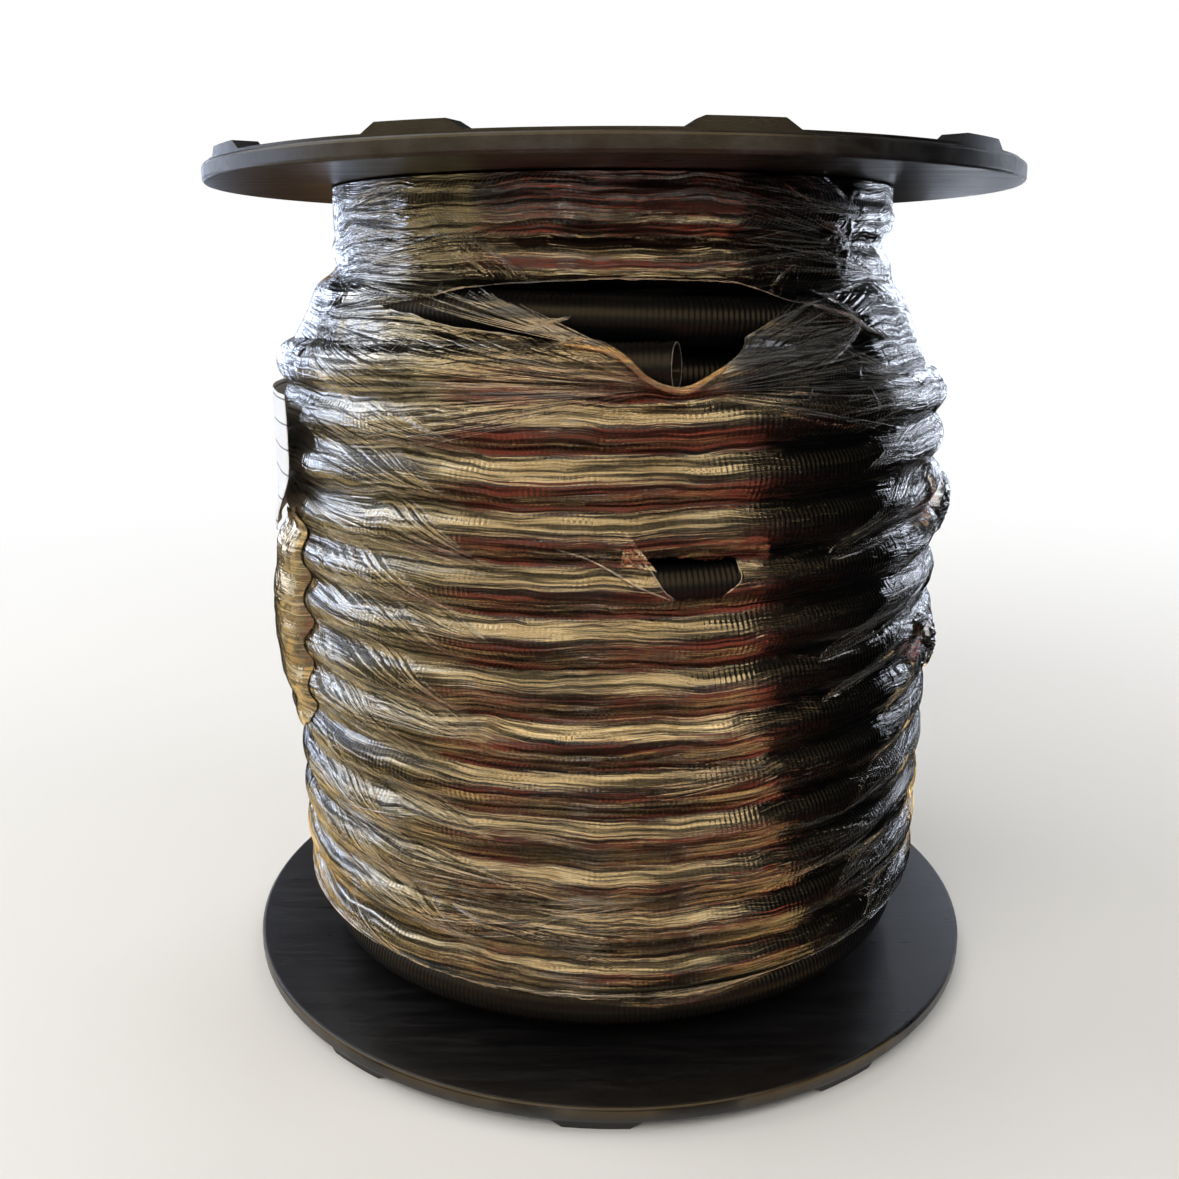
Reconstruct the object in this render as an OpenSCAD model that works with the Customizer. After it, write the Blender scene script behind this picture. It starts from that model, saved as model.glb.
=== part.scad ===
// Two-flange plastic reel with a black ribbed tube wound on it under torn stretch film.
// Millimetres. +Z is the reel's axis, and z = 0 is the plane its lower lugs stand on.

/* [Flanges] */
// Diameter of both flanges, a 12 inch reel
flange_d = 304.8; // [300:0.2:310]
// Distance between the two inner faces
traverse = 298; // [296:1:310]
// Thickness of each flange at its rim
rim_t = 6; // [5:0.5:8]
// Thickness of the web behind the smooth inner face
web_t = 3.5; // [3:0.5:4.5]
// Height of the ring that carries the lugs, above the rim
ring_h = 1; // [0.6:0.1:1.4]
// Height of each lug above that ring
lug_h = 3; // [2:0.5:4]
// Number of lugs round each flange
lug_n = 10; // [8:1:12]
// Length of a lug at its foot, along the rim
lug_l = 33; // [26:1:36]
// Length of the slope at each end of a lug
lug_ramp = 5; // [3:1:7]
// Where the lower flange's first lug sits
lower_lug_deg = -92.5; // [-100:0.5:-84]
// Where the upper flange's first lug sits
upper_lug_deg = -77; // [-85:0.5:-69]
// Number of stiffening ribs on each outer face
rib_n = 20; // [10:2:30]
// Width of a stiffening rib
rib_w = 2.4; // [1.6:0.2:3.2]

/* [Barrel and hub] */
// Outer diameter of the barrel
barrel_d = 150; // [146:1:152]
// Wall of the barrel
barrel_wall = 4; // [3:0.5:5]
// Hole through each arbor bush, for a 1 1/4 inch spindle
arbor_d = 32; // [28:0.5:34]
// Outer diameter of each arbor bush
bush_d = 42; // [39:1:44]
// Length of each arbor bush, lip included
bush_l = 30; // [24:1:36]
// Wall of the hub round each bush
hub_wall = 5; // [4:0.5:6]

/* [Tie rods] */
// Number of tie rods inside the barrel
rod_n = 4; // [3:1:6]
// Diameter of the circle the tie rods stand on
rod_pcd = 116; // [110:1:118]
// Diameter of a tie rod
rod_d = 8; // [6:1:8]
// Width of a nut across its flats
nut_af = 13; // [11:0.5:13]
// Height of a nut
nut_h = 6.5; // [5:0.5:6.5]
// Diameter of a washer
washer_d = 16; // [15:0.5:17]
// Thickness of a washer
washer_t = 1.6; // [1.2:0.2:1.8]

/* [Winding] */
// Outer diameter of the ribbed tube
tube_d = 16; // [15:0.1:16.2]
// Climb of the outer layer in one turn
outer_pitch = 17.2; // [17:0.1:17.4]
// Radius of the outer layer at the tube's middle
outer_r = 122.3; // [122:0.1:123]
// Radius at which the outer layer leaves the lower flange
outer_start_r = 112.4; // [112:0.1:114]
// Turns in which it climbs from that radius to the outer layer
outer_climb = 1.4; // [1.3:0.05:1.5]
// Angle at which the outer layer leaves the lower flange
outer_start_deg = 116; // [100:1:130]
// Turns in the outer layer, from the flange up to its cut end at the front
outer_turns = 13.43; // [13.4:0.01:13.5]
// Radius of the layer below at the tube's middle, where it shows under the upper flange
second_r = 99.4; // [99:0.1:100.4]
// How much farther out its third turn rides
second_lift = 8.4; // [7:0.1:8.5]
// Drop of the second layer in one turn
second_pitch = 18.3; // [17.4:0.1:18.6]
// Angle at which the second layer comes out of the layers below, a whole step from the outer's
second_start_deg = 161; // [146:15:176]
// Turns in which it rides outwards against the flange before it starts down
second_lead = 0.32; // [0.3:0.01:0.36]
// Radius at which it comes out
second_lead_r = 86.4; // [86:0.1:87]
// Turns of the second layer, down to where the outer layer hides it
second_turns = 4.125; // [4:0.125:4.25]

/* [Film and label] */
// Thickness drawn for the stretch film
film_t = 0.5; // [0.4:0.1:0.6]
// Gap between the turns and the film drawn over them
film_gap = 0.4; // [0.3:0.1:0.5]
// Height of the label
label_h = 50; // [40:1:60]
// Width of the label, round the winding
label_w = 84; // [60:1:95]
// Angle of the label's middle
label_deg = -168; // [-180:1:-150]
// Height of the label's middle above the lower inner face
label_z = 201; // [190:1:215]
// Thickness of the label
label_t = 0.4; // [0.3:0.1:0.5]

/* [Hidden] */
$fn = 96;

flange_r = flange_d / 2;
barrel_r = barrel_d / 2;
foot = lug_h + ring_h;               // from the standing plane up to the rim's outer face
face_z = foot + rim_t;               // lower inner face
top_z = face_z + traverse;           // upper inner face
height = top_z + face_z;             // whole reel
ring_out = flange_r - 2.2;           // the lug ring's outer and inner radius
ring_in = flange_r - 11.4;
rim_in = flange_r - 13;              // where the full-thickness rim ends
recess = rim_t - web_t;              // depth of the ribbed side behind the rim
web_z = foot + recess;
edge_r = 1.2;                        // rounding of the rim's two edges
lug_sink = 0.5;                      // how far a lug is let into its ring
rib_inset = 0.3;                     // the straight ribs stop short of the rings' level
hub_ring_r = barrel_r + 4;           // ring rib just outside the barrel
mid_ring_r = (hub_ring_r + rim_in) / 2;
spigot_r = barrel_r - barrel_wall - 0.4;
spigot_h = 12;
spigot_t = 4;
hub_r = bush_d / 2 + hub_wall;
hub_in = bush_l - 8;                 // how far the hub stands in past the inner face
lip_r = hub_r - 1;                   // lip of a bush
lip_t = 2;
seat_z = face_z + 5;                 // a washer's seat, above the standing plane
cup_wall = 2.4;
cup_r = washer_d / 2 + 1 + cup_wall; // cup round a nut
cup_top = seat_z + 5;
rod_end = seat_z - washer_t - nut_h - 2;

tube_r = tube_d / 2;
rings = 24;                          // rings in a loop of tube
sides = 6;                           // flats of the tube, one facing the axis
flat_r = tube_r * cos(180 / sides);
core_clear = 0.4;                    // between the core and the turns on it
lay_gap = 0.3;                       // between a flange and the turn lying on it
nest = tube_d + 0.9;                 // least distance between the middles of two turns
// A loop drawn with straight steps dips below its own radius by this factor.
chord = cos(180 / rings);
core_r = outer_r * chord - flat_r - core_clear;
core_top_r = second_r * chord - flat_r - core_clear;
core_lead_r = second_lead_r * chord - flat_r - core_clear;
core_foot_r = (outer_start_r - nest) * chord - flat_r - core_clear;
core_step_z = 213;                   // above this only the second layer lies on the core
foot_step_z = 17;                    // below this only the turn on the flange does
core_slope = 19;                     // height in which the core widens above that

// ---- the reel ------------------------------------------------------------------

// Points of a rounded corner, for the quarter turn that starts at angle from.
function corner(centre, from) = [for (i = [0:3]) let (a = from + i * 30)
    centre + edge_r * [cos(a), sin(a)]];

// Half section of a flange on its lugs' side down: hub, web, ring ribs, rim and spigot.
section = concat(
    [[lip_r, foot], [hub_r, foot], [hub_r, web_z]],
    [for (r = [hub_ring_r, mid_ring_r], p = [[0, web_z], [0, foot], [rib_w, foot], [rib_w, web_z]])
        p + [r, 0]],
    [[rim_in, web_z], [rim_in, foot], [ring_in, foot], [ring_in, lug_h], [ring_out, lug_h],
        [ring_out, foot]],
    corner([flange_r - edge_r, foot + edge_r], -90),
    corner([flange_r - edge_r, face_z - edge_r], 0),
    [[spigot_r, face_z], [spigot_r, face_z + spigot_h], [spigot_r - spigot_t, face_z + spigot_h],
        [spigot_r - spigot_t, face_z], [hub_r, face_z], [hub_r, face_z + hub_in],
        [bush_d / 2, face_z + hub_in], [bush_d / 2, foot + lip_t], [lip_r, foot + lip_t]]);

// One lug: an arc a little inside the ring's own edges, cut to a trapezium seen from outside.
// Its slopes run on a little way into the ring.
module lug() {
    half = lug_l / 2;
    root = half + lug_ramp * lug_sink / lug_h;
    intersection() {
        difference() {
            cylinder(h = lug_h + lug_sink, r = ring_out - 0.4);
            translate([0, 0, -1]) cylinder(h = foot + 2, r = ring_in + 0.4);
        }
        translate([ring_in - 6, 0, 0]) rotate([90, 0, 90]) linear_extrude(20)
            polygon([[-root, lug_h + lug_sink], [lug_ramp - half, 0], [half - lug_ramp, 0],
                [root, lug_h + lug_sink]]);
    }
}

// A ring with a square section.
module ring(r_out, r_in, z, h) {
    translate([0, 0, z]) difference() {
        cylinder(h = h, r = r_out);
        translate([0, 0, -1]) cylinder(h = h + 2, r = r_in);
    }
}

module at_rods() {
    for (i = [0:rod_n - 1]) rotate(i * 360 / rod_n + 45) translate([rod_pcd / 2, 0, 0]) children();
}

// A flange standing on its lugs: smooth face up, ribs, ring, lugs and nut pockets below.
module flange(first_lug) {
    difference() {
        union() {
            rotate(first_lug + 180 / lug_n) rotate_extrude() polygon(section);
            for (i = [0:lug_n - 1]) rotate(first_lug + i * 360 / lug_n) lug();
            for (i = [0:rib_n - 1]) rotate((i + 0.5) * 360 / rib_n)
                translate([hub_r - 1, -rib_w / 2, foot + rib_inset])
                    cube([rim_in - hub_r + 2, rib_w, recess - rib_inset + 1]);
            at_rods() translate([0, 0, foot + rib_inset])
                cylinder(h = cup_top - foot - rib_inset, r = cup_r, $fn = 48);
        }
        at_rods() translate([0, 0, -1]) cylinder(h = seat_z + 1, r = cup_r - cup_wall, $fn = 48);
        at_rods() cylinder(h = cup_top + 1, r = rod_d / 2 + 0.3, $fn = 32);
    }
}

// Turns a lower piece end over end, about the X axis, into its place at the upper end.
module upper_end() {
    translate([0, 0, height]) rotate([180, 0, 0]) children();
}

module lower_flange() {
    color("#1b1c1e") flange(lower_lug_deg);
}

module upper_flange() {
    color("#1b1c1e") upper_end() flange(-upper_lug_deg);
}

module barrel() {
    color("#222325") ring(barrel_r, barrel_r - barrel_wall, face_z, traverse);
}

// A flanged bush, lip down, pressed up into the hub from the outer side.
module bush() {
    difference() {
        union() {
            translate([0, 0, foot]) cylinder(h = bush_l, r = bush_d / 2);
            translate([0, 0, foot]) cylinder(h = lip_t, r = lip_r);
        }
        translate([0, 0, foot - 1]) cylinder(h = bush_l + 2, r = arbor_d / 2);
    }
}

module lower_arbor_bush() {
    color("#3a3c40") bush();
}

module upper_arbor_bush() {
    color("#3a3c40") upper_end() bush();
}

module tie_rods() {
    color("#b9bcc0") at_rods() translate([0, 0, rod_end])
        cylinder(h = height - 2 * rod_end, r = rod_d / 2, $fn = 32);
}

module washers() {
    at_rods() translate([0, 0, seat_z - washer_t]) difference() {
        cylinder(h = washer_t, r = washer_d / 2, $fn = 48);
        translate([0, 0, -1]) cylinder(h = washer_t + 2, r = rod_d / 2, $fn = 32);
    }
}

module nuts() {
    at_rods() translate([0, 0, seat_z - washer_t - nut_h]) difference() {
        cylinder(h = nut_h, d = nut_af / cos(30), $fn = 6);
        translate([0, 0, -1]) cylinder(h = nut_h + 2, r = rod_d / 2, $fn = 32);
    }
}

module lower_tie_washers() {
    color("#c4c6c9") washers();
}

module upper_tie_washers() {
    color("#c4c6c9") upper_end() washers();
}

module lower_tie_nuts() {
    color("#a9acb0") nuts();
}

module upper_tie_nuts() {
    color("#a9acb0") upper_end() nuts();
}

// ---- the winding ----------------------------------------------------------------

// The layers nobody sees under the outer layer, as one plain body on the barrel.
module inner_layers() {
    color("#141416") rotate_extrude($fn = 96) translate([0, face_z]) polygon([
        [barrel_r, 0], [core_foot_r, 0], [core_foot_r, foot_step_z],
        [climb_r(0) * chord - flat_r - core_clear, foot_step_z],
        [core_r, foot_step_z + core_slope], [core_r, core_step_z], [barrel_r, core_step_z]]);
}

// The same under the second layer alone, near the upper flange.
module neck_layers() {
    lead_z = traverse - tube_d - 1.5;
    color("#141416") rotate_extrude($fn = 96) translate([0, face_z]) polygon([
        [barrel_r, core_step_z], [core_top_r, core_step_z], [core_top_r, lead_z],
        [core_lead_r, lead_z], [core_lead_r, traverse], [barrel_r, traverse]]);
}

function smooth(x) = let (c = min(1, max(0, x))) c * c * (3 - 2 * c);

// Radius of the outer layer's tube after t turns: it climbs to its radius, and the turn
// before the first lies flat on the flange, nested inside the turn above it.
function climb_r(t) = outer_start_r + (outer_r - outer_start_r) * min(1, t / outer_climb);
function outer_radius(t) = t >= 0 ? climb_r(t)
    : min(climb_r(t), climb_r(t + 1) - sqrt(max(0, nest ^ 2 - (outer_pitch * (t + 1)) ^ 2)));

// Middle of the outer layer's tube after t turns.
function outer_at(t) = let (
    a = outer_start_deg + 360 * t,
    r = outer_radius(t),
    z = face_z + tube_r + lay_gap + outer_pitch * max(0, t)
) [r * cos(a), r * sin(a), z];

// Middle of the second layer's tube after t turns: outwards against the flange, then down.
// Its third turn rides up by second_lift and then drops behind the outer layer.
function second_at(t) = let (
    a = second_start_deg + 360 * t,
    lead = (second_r - second_lead_r) * (1 - min(1, t / second_lead)),
    lift = smooth((t - 1.6) / 0.5) - smooth((t - 2.6) / 0.5),
    r = second_r - lead + second_lift * lift,
    z = top_z - tube_r - lay_gap - second_pitch * max(0, t - second_lead)
) [r * cos(a), r * sin(a), z];

function unit(v) = v / norm(v);

// A route's points, with a straight run of one tube diameter added at each end.
function with_ends(p) = let (n = len(p)) concat(
    [p[0] + tube_d * unit(p[0] - p[1])], p, [p[n - 1] + tube_d * unit(p[n - 1] - p[n - 2])]);

// Both routes have their stations at the same angles, and the film has its columns there.
function outer_route() = with_ends([for (i = [0:ceil((outer_turns + 1) * rings)])
    outer_at(min(outer_turns, i / rings - 1))]);
function second_route() = with_ends([for (i = [0:ceil(second_turns * rings)])
    second_at(min(second_turns, i / rings))]);

// Direction of a route at its point i.
function heading(p, i) = unit(p[min(i + 1, len(p) - 1)] - p[max(i - 1, 0)]);

// Sweeps a tube of flat sides along a route, closed at both ends.
module tube_along(p) {
    n = len(p);
    points = [for (i = [0:n - 1]) let (
        d = heading(p, i),
        side = unit(cross(d, [0, 0, 1])),
        up = cross(side, d)
    ) for (k = [0:sides - 1]) let (a = (k + 0.5) * 360 / sides)
        p[i] + tube_r * (cos(a) * side + sin(a) * up)];
    walls = [for (i = [0:n - 2], k = [0:sides - 1]) let (
        a = i * sides + k,
        b = i * sides + (k + 1) % sides
    ) each [[a, b, a + sides], [b, b + sides, a + sides]]];
    start = [for (k = [1:sides - 2]) [0, k + 1, k]];
    last = (n - 1) * sides;
    end = [for (k = [1:sides - 2]) [last, last + k, last + k + 1]];
    polyhedron(points = points, faces = concat(walls, start, end), convexity = 10);
}

// Least gap between a tube and itself, half a turn or more away along its route.
function self_gap(p) = min([for (i = [0:len(p) - 1], j = [i + rings / 2:len(p) - 1])
    norm(p[i] - p[j])]) - tube_d;
function gap_between(p, q) = min([for (a = p, b = q) norm(a - b)]) - tube_d;

module second_layer() {
    route = second_route();
    echo(second_layer_least_gap_mm = self_gap(route));
    color("#1a1a1c") tube_along(route);
}

module outer_layer() {
    route = outer_route();
    echo(outer_layer_least_gap_mm = self_gap(route));
    echo(outer_to_second_layer_least_gap_mm = gap_between(route, second_route()));
    color("#1e1e20") tube_along(route);
}

// ---- the wrapping ---------------------------------------------------------------

film_rows = 4;                       // rows of the film in one climb of the outer layer
film_ball = 3.4;                     // radius of its bend in the groove between two turns
taut_ball = 40;                      // the same from the shoulder up, where it is drawn tight
shoulder_z = 240;                    // height of the shoulder
row_play = 0.3;                      // a row is as far out as the film this far above and below
steep_play = 1.4;                    // the same from the shoulder up
end_reach = 0.03;                    // turns by which the film reaches past the cut end
tear_from = -124;                    // the film has twice as many columns between these angles
tear_to = -49;
seam_z = 268;                        // height of the line where the film's two bands meet
film_out_r = outer_r + tube_r + film_gap + film_t;

// Lines round the reel, as angles and heights above the standing plane. The upper two leave
// the seam at the front, where the film is torn open.
low_edge = [[-180, 33], [-141, 34], [-131, 31.5], [-101, 31], [-83, 28], [-73, 29], [-63, 33],
    [-52, 35], [-42, 39], [-30, 33], [0, 26], [40, 29], [75, 25], [110, 27], [150, 28], [180, 33]];
body_top = [[-135, seam_z], [-129, 266], [-123, 264], [-110, 260], [-96, 256.5], [-90, 254.5],
    [-86.5, 247], [-81, 242.6], [-78, 246.5], [-71, 256.7], [-66, 262], [-60, 266.5], [-56, seam_z]];
neck_foot = [[-135, seam_z], [-121, 270.5], [-117, 272.5], [-106, 274.5], [-90, 275.5],
    [-70, 274.5], [-60, 270], [-52, seam_z]];
neck_top = [[-180, top_z - 1], [180, top_z - 1]];

// Turns after which a layer passes an angle.
function passes(a, start_deg, first, last) = let (t = (a - start_deg) / 360)
    [for (n = [ceil(first - t):floor(last - t)]) t + n];

// Middles of the tube where it passes an angle, as [radius, height] from the lowest up: the
// outer layer, then what shows of the second layer above it.
function middles(a) = let (
    outer = [for (t = passes(a, outer_start_deg, -1, outer_turns + end_reach))
        [outer_radius(t) / cos(360 * max(0, t - outer_turns)), outer_at(t)[2]]],
    top = outer[len(outer) - 1][1],
    second = [for (t = passes(a, second_start_deg, 0, second_turns)) let (p = second_at(t))
        if (p[2] > top + tube_r / 2) [norm([p[0], p[1]]), p[2]]]
) concat(outer, [for (i = [len(second) - 1:-1:0]) second[i]]);

// Radius of the outside of one turn at a height.
function over_turn(p, z) = abs(z - p[1]) < tube_r ? p[0] + sqrt(tube_r ^ 2 - (z - p[1]) ^ 2) : 0;

// Radius at a height of the near side of a ball that rests on two turns, between its contacts.
function between_turns(p, q, z) = let (
    ball = q[1] > shoulder_z ? taut_ball : film_ball,
    reach = tube_r + ball,
    along = unit(q - p),
    square_off = reach ^ 2 - norm(q - p) ^ 2 / 4,
    middle = (p + q) / 2 + sqrt(max(0, square_off)) * [along[1], -along[0]],
    low = p[1] + (middle[1] - p[1]) * tube_r / reach,
    high = q[1] + (middle[1] - q[1]) * tube_r / reach
) square_off > 0 && z > low && z < high ? middle[0] - sqrt(ball ^ 2 - (z - middle[1]) ^ 2) : 0;

// Radius of the film's inner side over the turns at one angle.
function film_radius(turns, z) = film_gap + max(concat([second_r],
    [for (p = turns) over_turn(p, z)],
    [for (i = [1:len(turns) - 1]) between_turns(turns[i - 1], turns[i], z)]));

// The same for a row of points, standing off a little where the film runs steeply, so that
// the flat faces between two rows clear the turn under them.
function row_radius(turns, z) = let (play = z > shoulder_z - 1 ? steep_play : row_play)
    max(film_radius(turns, z - play), film_radius(turns, z + play));

// Angles of the film's columns: the tube's own stations, and the middles of those at the tear.
columns = [for (i = [0:rings - 1]) let (step = 360 / rings, a = outer_start_deg - 300 + i * step)
    each (a >= tear_from && a < tear_to ? [a, a + step / 2] : [a])];

// Heights of the film's rows at an angle, from one line up to another. Between the lines they
// follow the outer layer's crests, flanks and grooves.
function row_heights(a, low, top) = let (
    step = outer_pitch / film_rows,
    crest = face_z + tube_r + lay_gap + outer_pitch * (a - outer_start_deg) / 360,
    from = lookup(a, low),
    to = lookup(a, top)
) concat([from], [for (m = [ceil((from - crest) / step + 0.3):floor((to - crest) / step - 0.3)])
    crest + m * step], [to]);

// Whether the left of two columns of heights is the one to climb, with its place i and j.
function left_climbs(p, q, i, j) = j == len(q) - 1 || (i < len(p) - 1 && p[i + 1] <= q[j + 1]);

// Triangles between two columns of points, seen from outside. first_p and first_q are the
// numbers of their lowest points.
function zipped(p, q, first_p, first_q) = [
    for (i = 0, j = 0, left = left_climbs(p, q, 0, 0); i + j < len(p) + len(q) - 2;
        i = i + (left ? 1 : 0), j = j + (left ? 0 : 1), left = left_climbs(p, q, i, j))
        left ? [first_p + i, first_p + i + 1, first_q + j]
            : [first_p + i, first_q + j + 1, first_q + j]];

// A band of film from one line up to another, pulled tight over the turns.
module film_band(low, top) {
    rows = [for (a = columns) row_heights(a, low, top)];
    counts = [for (r = rows) len(r)];
    starts = [for (k = 0, sum = 0; k <= len(rows); sum = sum + (k < len(rows) ? counts[k] : 0),
        k = k + 1) sum];
    total = starts[len(rows)];
    skins = [for (k = [0:len(rows) - 1]) let (a = columns[k], turns = middles(a))
        [for (z = rows[k]) let (r = row_radius(turns, z)) [r * cos(a), r * sin(a), z]]];
    thickness = [for (k = [0:len(rows) - 1]) film_t * [cos(columns[k]), sin(columns[k]), 0]];
    outside = [for (k = [0:len(rows) - 1], p = skins[k]) p + thickness[k]];
    inside = [for (skin = skins, p = skin) p];
    next = [for (k = [0:len(rows) - 1]) (k + 1) % len(rows)];
    faces = [for (k = [0:len(rows) - 1])
        each zipped(rows[k], rows[next[k]], starts[k], starts[next[k]])];
    edges = [for (k = [0:len(rows) - 1]) let (
        a = starts[k],
        b = starts[next[k]],
        c = a + counts[k] - 1,
        d = b + counts[next[k]] - 1
    ) each [[a, b, b + total], [a, b + total, a + total], [d, c, c + total], [d, c + total, d + total]]];
    backs = [for (f = faces) [f[2], f[1], f[0]] + [total, total, total]];
    polyhedron(points = concat(outside, inside), faces = concat(faces, edges, backs), convexity = 10);
}

module film_body() {
    color([0.75, 0.76, 0.78, 0.5]) film_band(low_edge, body_top);
}

module film_neck() {
    color([0.75, 0.76, 0.78, 0.5]) film_band(neck_foot, neck_top);
}

// A paper label stuck on the film.
module side_label() {
    label_r = film_out_r + label_t;
    half = label_w / label_r * 90 / PI;
    color("#e4e6e8") rotate(label_deg - half) translate([0, 0, face_z + label_z - label_h / 2])
        rotate_extrude(angle = 2 * half) translate([film_out_r, 0]) square([label_t, label_h]);
}

lower_flange();
upper_flange();
barrel();
lower_arbor_bush();
upper_arbor_bush();
tie_rods();
lower_tie_washers();
upper_tie_washers();
lower_tie_nuts();
upper_tie_nuts();
inner_layers();
neck_layers();
second_layer();
outer_layer();
film_body();
film_neck();
side_label();
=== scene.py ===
import bpy
import numpy as np
import math
from functools import partial
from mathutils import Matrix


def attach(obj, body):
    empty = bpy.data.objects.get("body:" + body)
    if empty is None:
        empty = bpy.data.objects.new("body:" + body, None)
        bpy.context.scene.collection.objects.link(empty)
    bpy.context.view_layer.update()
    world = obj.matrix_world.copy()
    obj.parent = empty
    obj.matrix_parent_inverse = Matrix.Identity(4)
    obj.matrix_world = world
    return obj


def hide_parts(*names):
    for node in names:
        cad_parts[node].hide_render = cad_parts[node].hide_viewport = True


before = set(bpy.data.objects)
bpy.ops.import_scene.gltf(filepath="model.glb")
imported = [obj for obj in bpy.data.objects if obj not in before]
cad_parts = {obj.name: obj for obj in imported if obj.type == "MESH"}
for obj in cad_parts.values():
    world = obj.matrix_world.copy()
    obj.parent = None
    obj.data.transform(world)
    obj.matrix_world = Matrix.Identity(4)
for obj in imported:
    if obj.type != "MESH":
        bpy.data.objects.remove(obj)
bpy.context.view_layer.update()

# ---- Camera ----------------------------------------------------------------------
# It stands half a metre from the reel's axis, a little below the upper flange's level,
# and looks 15 degrees down with a lens that takes in the whole reel.

CAMERA_PLACE = (-0.00866, -0.48414, 0.27707)
CAMERA_TILT_DEG = 74.98
CAMERA_LENS = 35.95
CAMERA_SENSOR = 36.0

camera_data = bpy.data.cameras.new("front_camera")
camera_data.sensor_fit = "HORIZONTAL"
camera_data.sensor_width = CAMERA_SENSOR
camera_data.lens = CAMERA_LENS
camera_data.clip_start = 0.01
camera = bpy.data.objects.new("front_camera", camera_data)
camera.location = CAMERA_PLACE
camera.rotation_euler = (math.radians(CAMERA_TILT_DEG), 0, 0)
bpy.context.scene.collection.objects.link(camera)
bpy.context.scene.camera = camera
bpy.context.scene.view_settings.view_transform = "Standard"

# ---- Studio ----------------------------------------------------------------------
# A round pale floor that runs out into white, and four soft boxes. Round them stand cloths
# and reflectors that only reflections see: warm in front, silver left and black on the right.

FLOOR_R = 4.0
FLOOR_SIDES = 96
FLOOR_WHITE_FROM = 0.24
FLOOR_WHITE_TO = 1.1
SKY_LIGHT = 0.3
REEL_MIDDLE = (0.0, 0.0, 0.16)
WHITE = (1, 1, 1, 1)


def srgb(text):
    """Linear colour with alpha 1 from six hex digits of an sRGB colour, by the sRGB curve."""
    parts = [int(text[i:i + 2], 16) / 255 for i in (1, 3, 5)]
    return tuple(c / 12.92 if c <= 0.04045 else ((c + 0.055) / 1.055) ** 2.4 for c in parts) + (1.0,)


def add_node(tree, kind, *plain, **named):
    """Adds a shader node. Names in small letters are its settings. Plain values fill the inputs
    that it then shows, in order, and the others the input of that name, with _ for a space. A
    node given as a value is linked by the first output that it shows, and a socket as it is."""
    made = tree.nodes.new("ShaderNode" + kind)
    for name in filter(str.islower, named):
        setattr(made, name, named[name])
    filled = [*zip([socket for socket in made.inputs if socket.enabled], plain)]
    filled += [(made.inputs[name.replace("_", " ")], named[name]) for name in named if not name.islower()]
    for socket, value in filled:
        if isinstance(value, bpy.types.Node):
            value = next(output for output in value.outputs if output.enabled)
        if isinstance(value, bpy.types.NodeSocket):
            tree.links.new(value, socket)
        else:
            socket.default_value = value
    return made


def material_of(name, surface, *details):
    """A material whose shader surface(node, place, *details) makes: node adds a node to its
    tree, and place is the Object coordinates."""
    made = bpy.data.materials.new(name)
    made.use_nodes = True
    made.node_tree.nodes.clear()
    node = partial(add_node, made.node_tree)
    node("OutputMaterial", surface(node, node("TexCoord").outputs["Object"], *details))
    return made


def mesh_object(name, points, quads, material):
    """A smooth object from points in millimetres and rows of vertex numbers, put in metres."""
    mesh = bpy.data.meshes.new(name)
    mesh.from_pydata(np.asarray(points).reshape(-1, 3) * 0.001, [], quads)
    mesh.polygons.foreach_set("use_smooth", np.full(len(mesh.polygons), True))
    mesh.materials.append(material)
    mesh.update()
    made = bpy.data.objects.new(name, mesh)
    bpy.context.scene.collection.objects.link(made)
    return made


def grid_quads(rows, columns, wrap_columns=False):
    """Vertex numbers of the quads of a grid stored row by row, facing the side from which
    rows run up and columns run to the right."""
    across = columns if wrap_columns else columns - 1
    row, column = np.meshgrid(np.arange(rows - 1), np.arange(across), indexing="ij")
    low, high = row * columns, (row + 1) * columns
    right = (column + 1) % columns
    return np.stack([c.ravel() for c in (low + column, low + right, high + right, high + column)], 1)


def seen_rays(node):
    """1 for camera, glossy and transmission rays, and 0 for the rest."""
    path = node("LightPath").outputs
    seen = node("Math", path["Is Camera Ray"], path["Is Glossy Ray"], operation="MAXIMUM")
    return node("Math", seen, path["Is Transmission Ray"], operation="MAXIMUM")


def matt_floor(node, place):
    """Pale matt paint. What seen_rays see turns plain white of strength 1 towards the edge."""
    paint = node("BsdfDiffuse", srgb("#f4f3f1"))
    away = node("VectorMath", place, operation="LENGTH")
    fade = node("MapRange", away, FLOOR_WHITE_FROM, FLOOR_WHITE_TO, interpolation_type="SMOOTHSTEP")
    share = node("Math", seen_rays(node), fade, operation="MULTIPLY")
    return node("MixShader", share, paint, node("Emission", WHITE, 1.0))


turn = np.linspace(0, 2 * np.pi, FLOOR_SIDES + 1)[:-1]
floor_points = np.stack([np.cos(turn), np.sin(turn), 0 * turn], 1) * FLOOR_R * 1000
floor = mesh_object("floor", floor_points, [list(range(FLOOR_SIDES))],
    material_of("pale_matt_floor", matt_floor))


def softbox(name, azimuth_deg, height, distance, size, radiance, colour):
    """A rectangular area light of size (width, height) metres and that radiance, at an azimuth
    counted from the front towards the right, aimed at the reel's middle."""
    light = bpy.data.lights.new(name, "AREA")
    light.shape = "RECTANGLE"
    light.size, light.size_y = size
    light.energy = radiance * math.pi * size[0] * size[1]
    light.color = srgb(colour)[:3]
    lamp = bpy.data.objects.new(name, light)
    a = math.radians(azimuth_deg)
    lamp.location = (distance * math.sin(a), -distance * math.cos(a), height)
    aim = lamp.location.copy()
    aim.x, aim.y, aim.z = (REEL_MIDDLE[i] - lamp.location[i] for i in range(3))
    lamp.rotation_euler = aim.to_track_quat("-Z", "Y").to_euler()
    lamp.visible_glossy = False
    bpy.context.scene.collection.objects.link(lamp)


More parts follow.
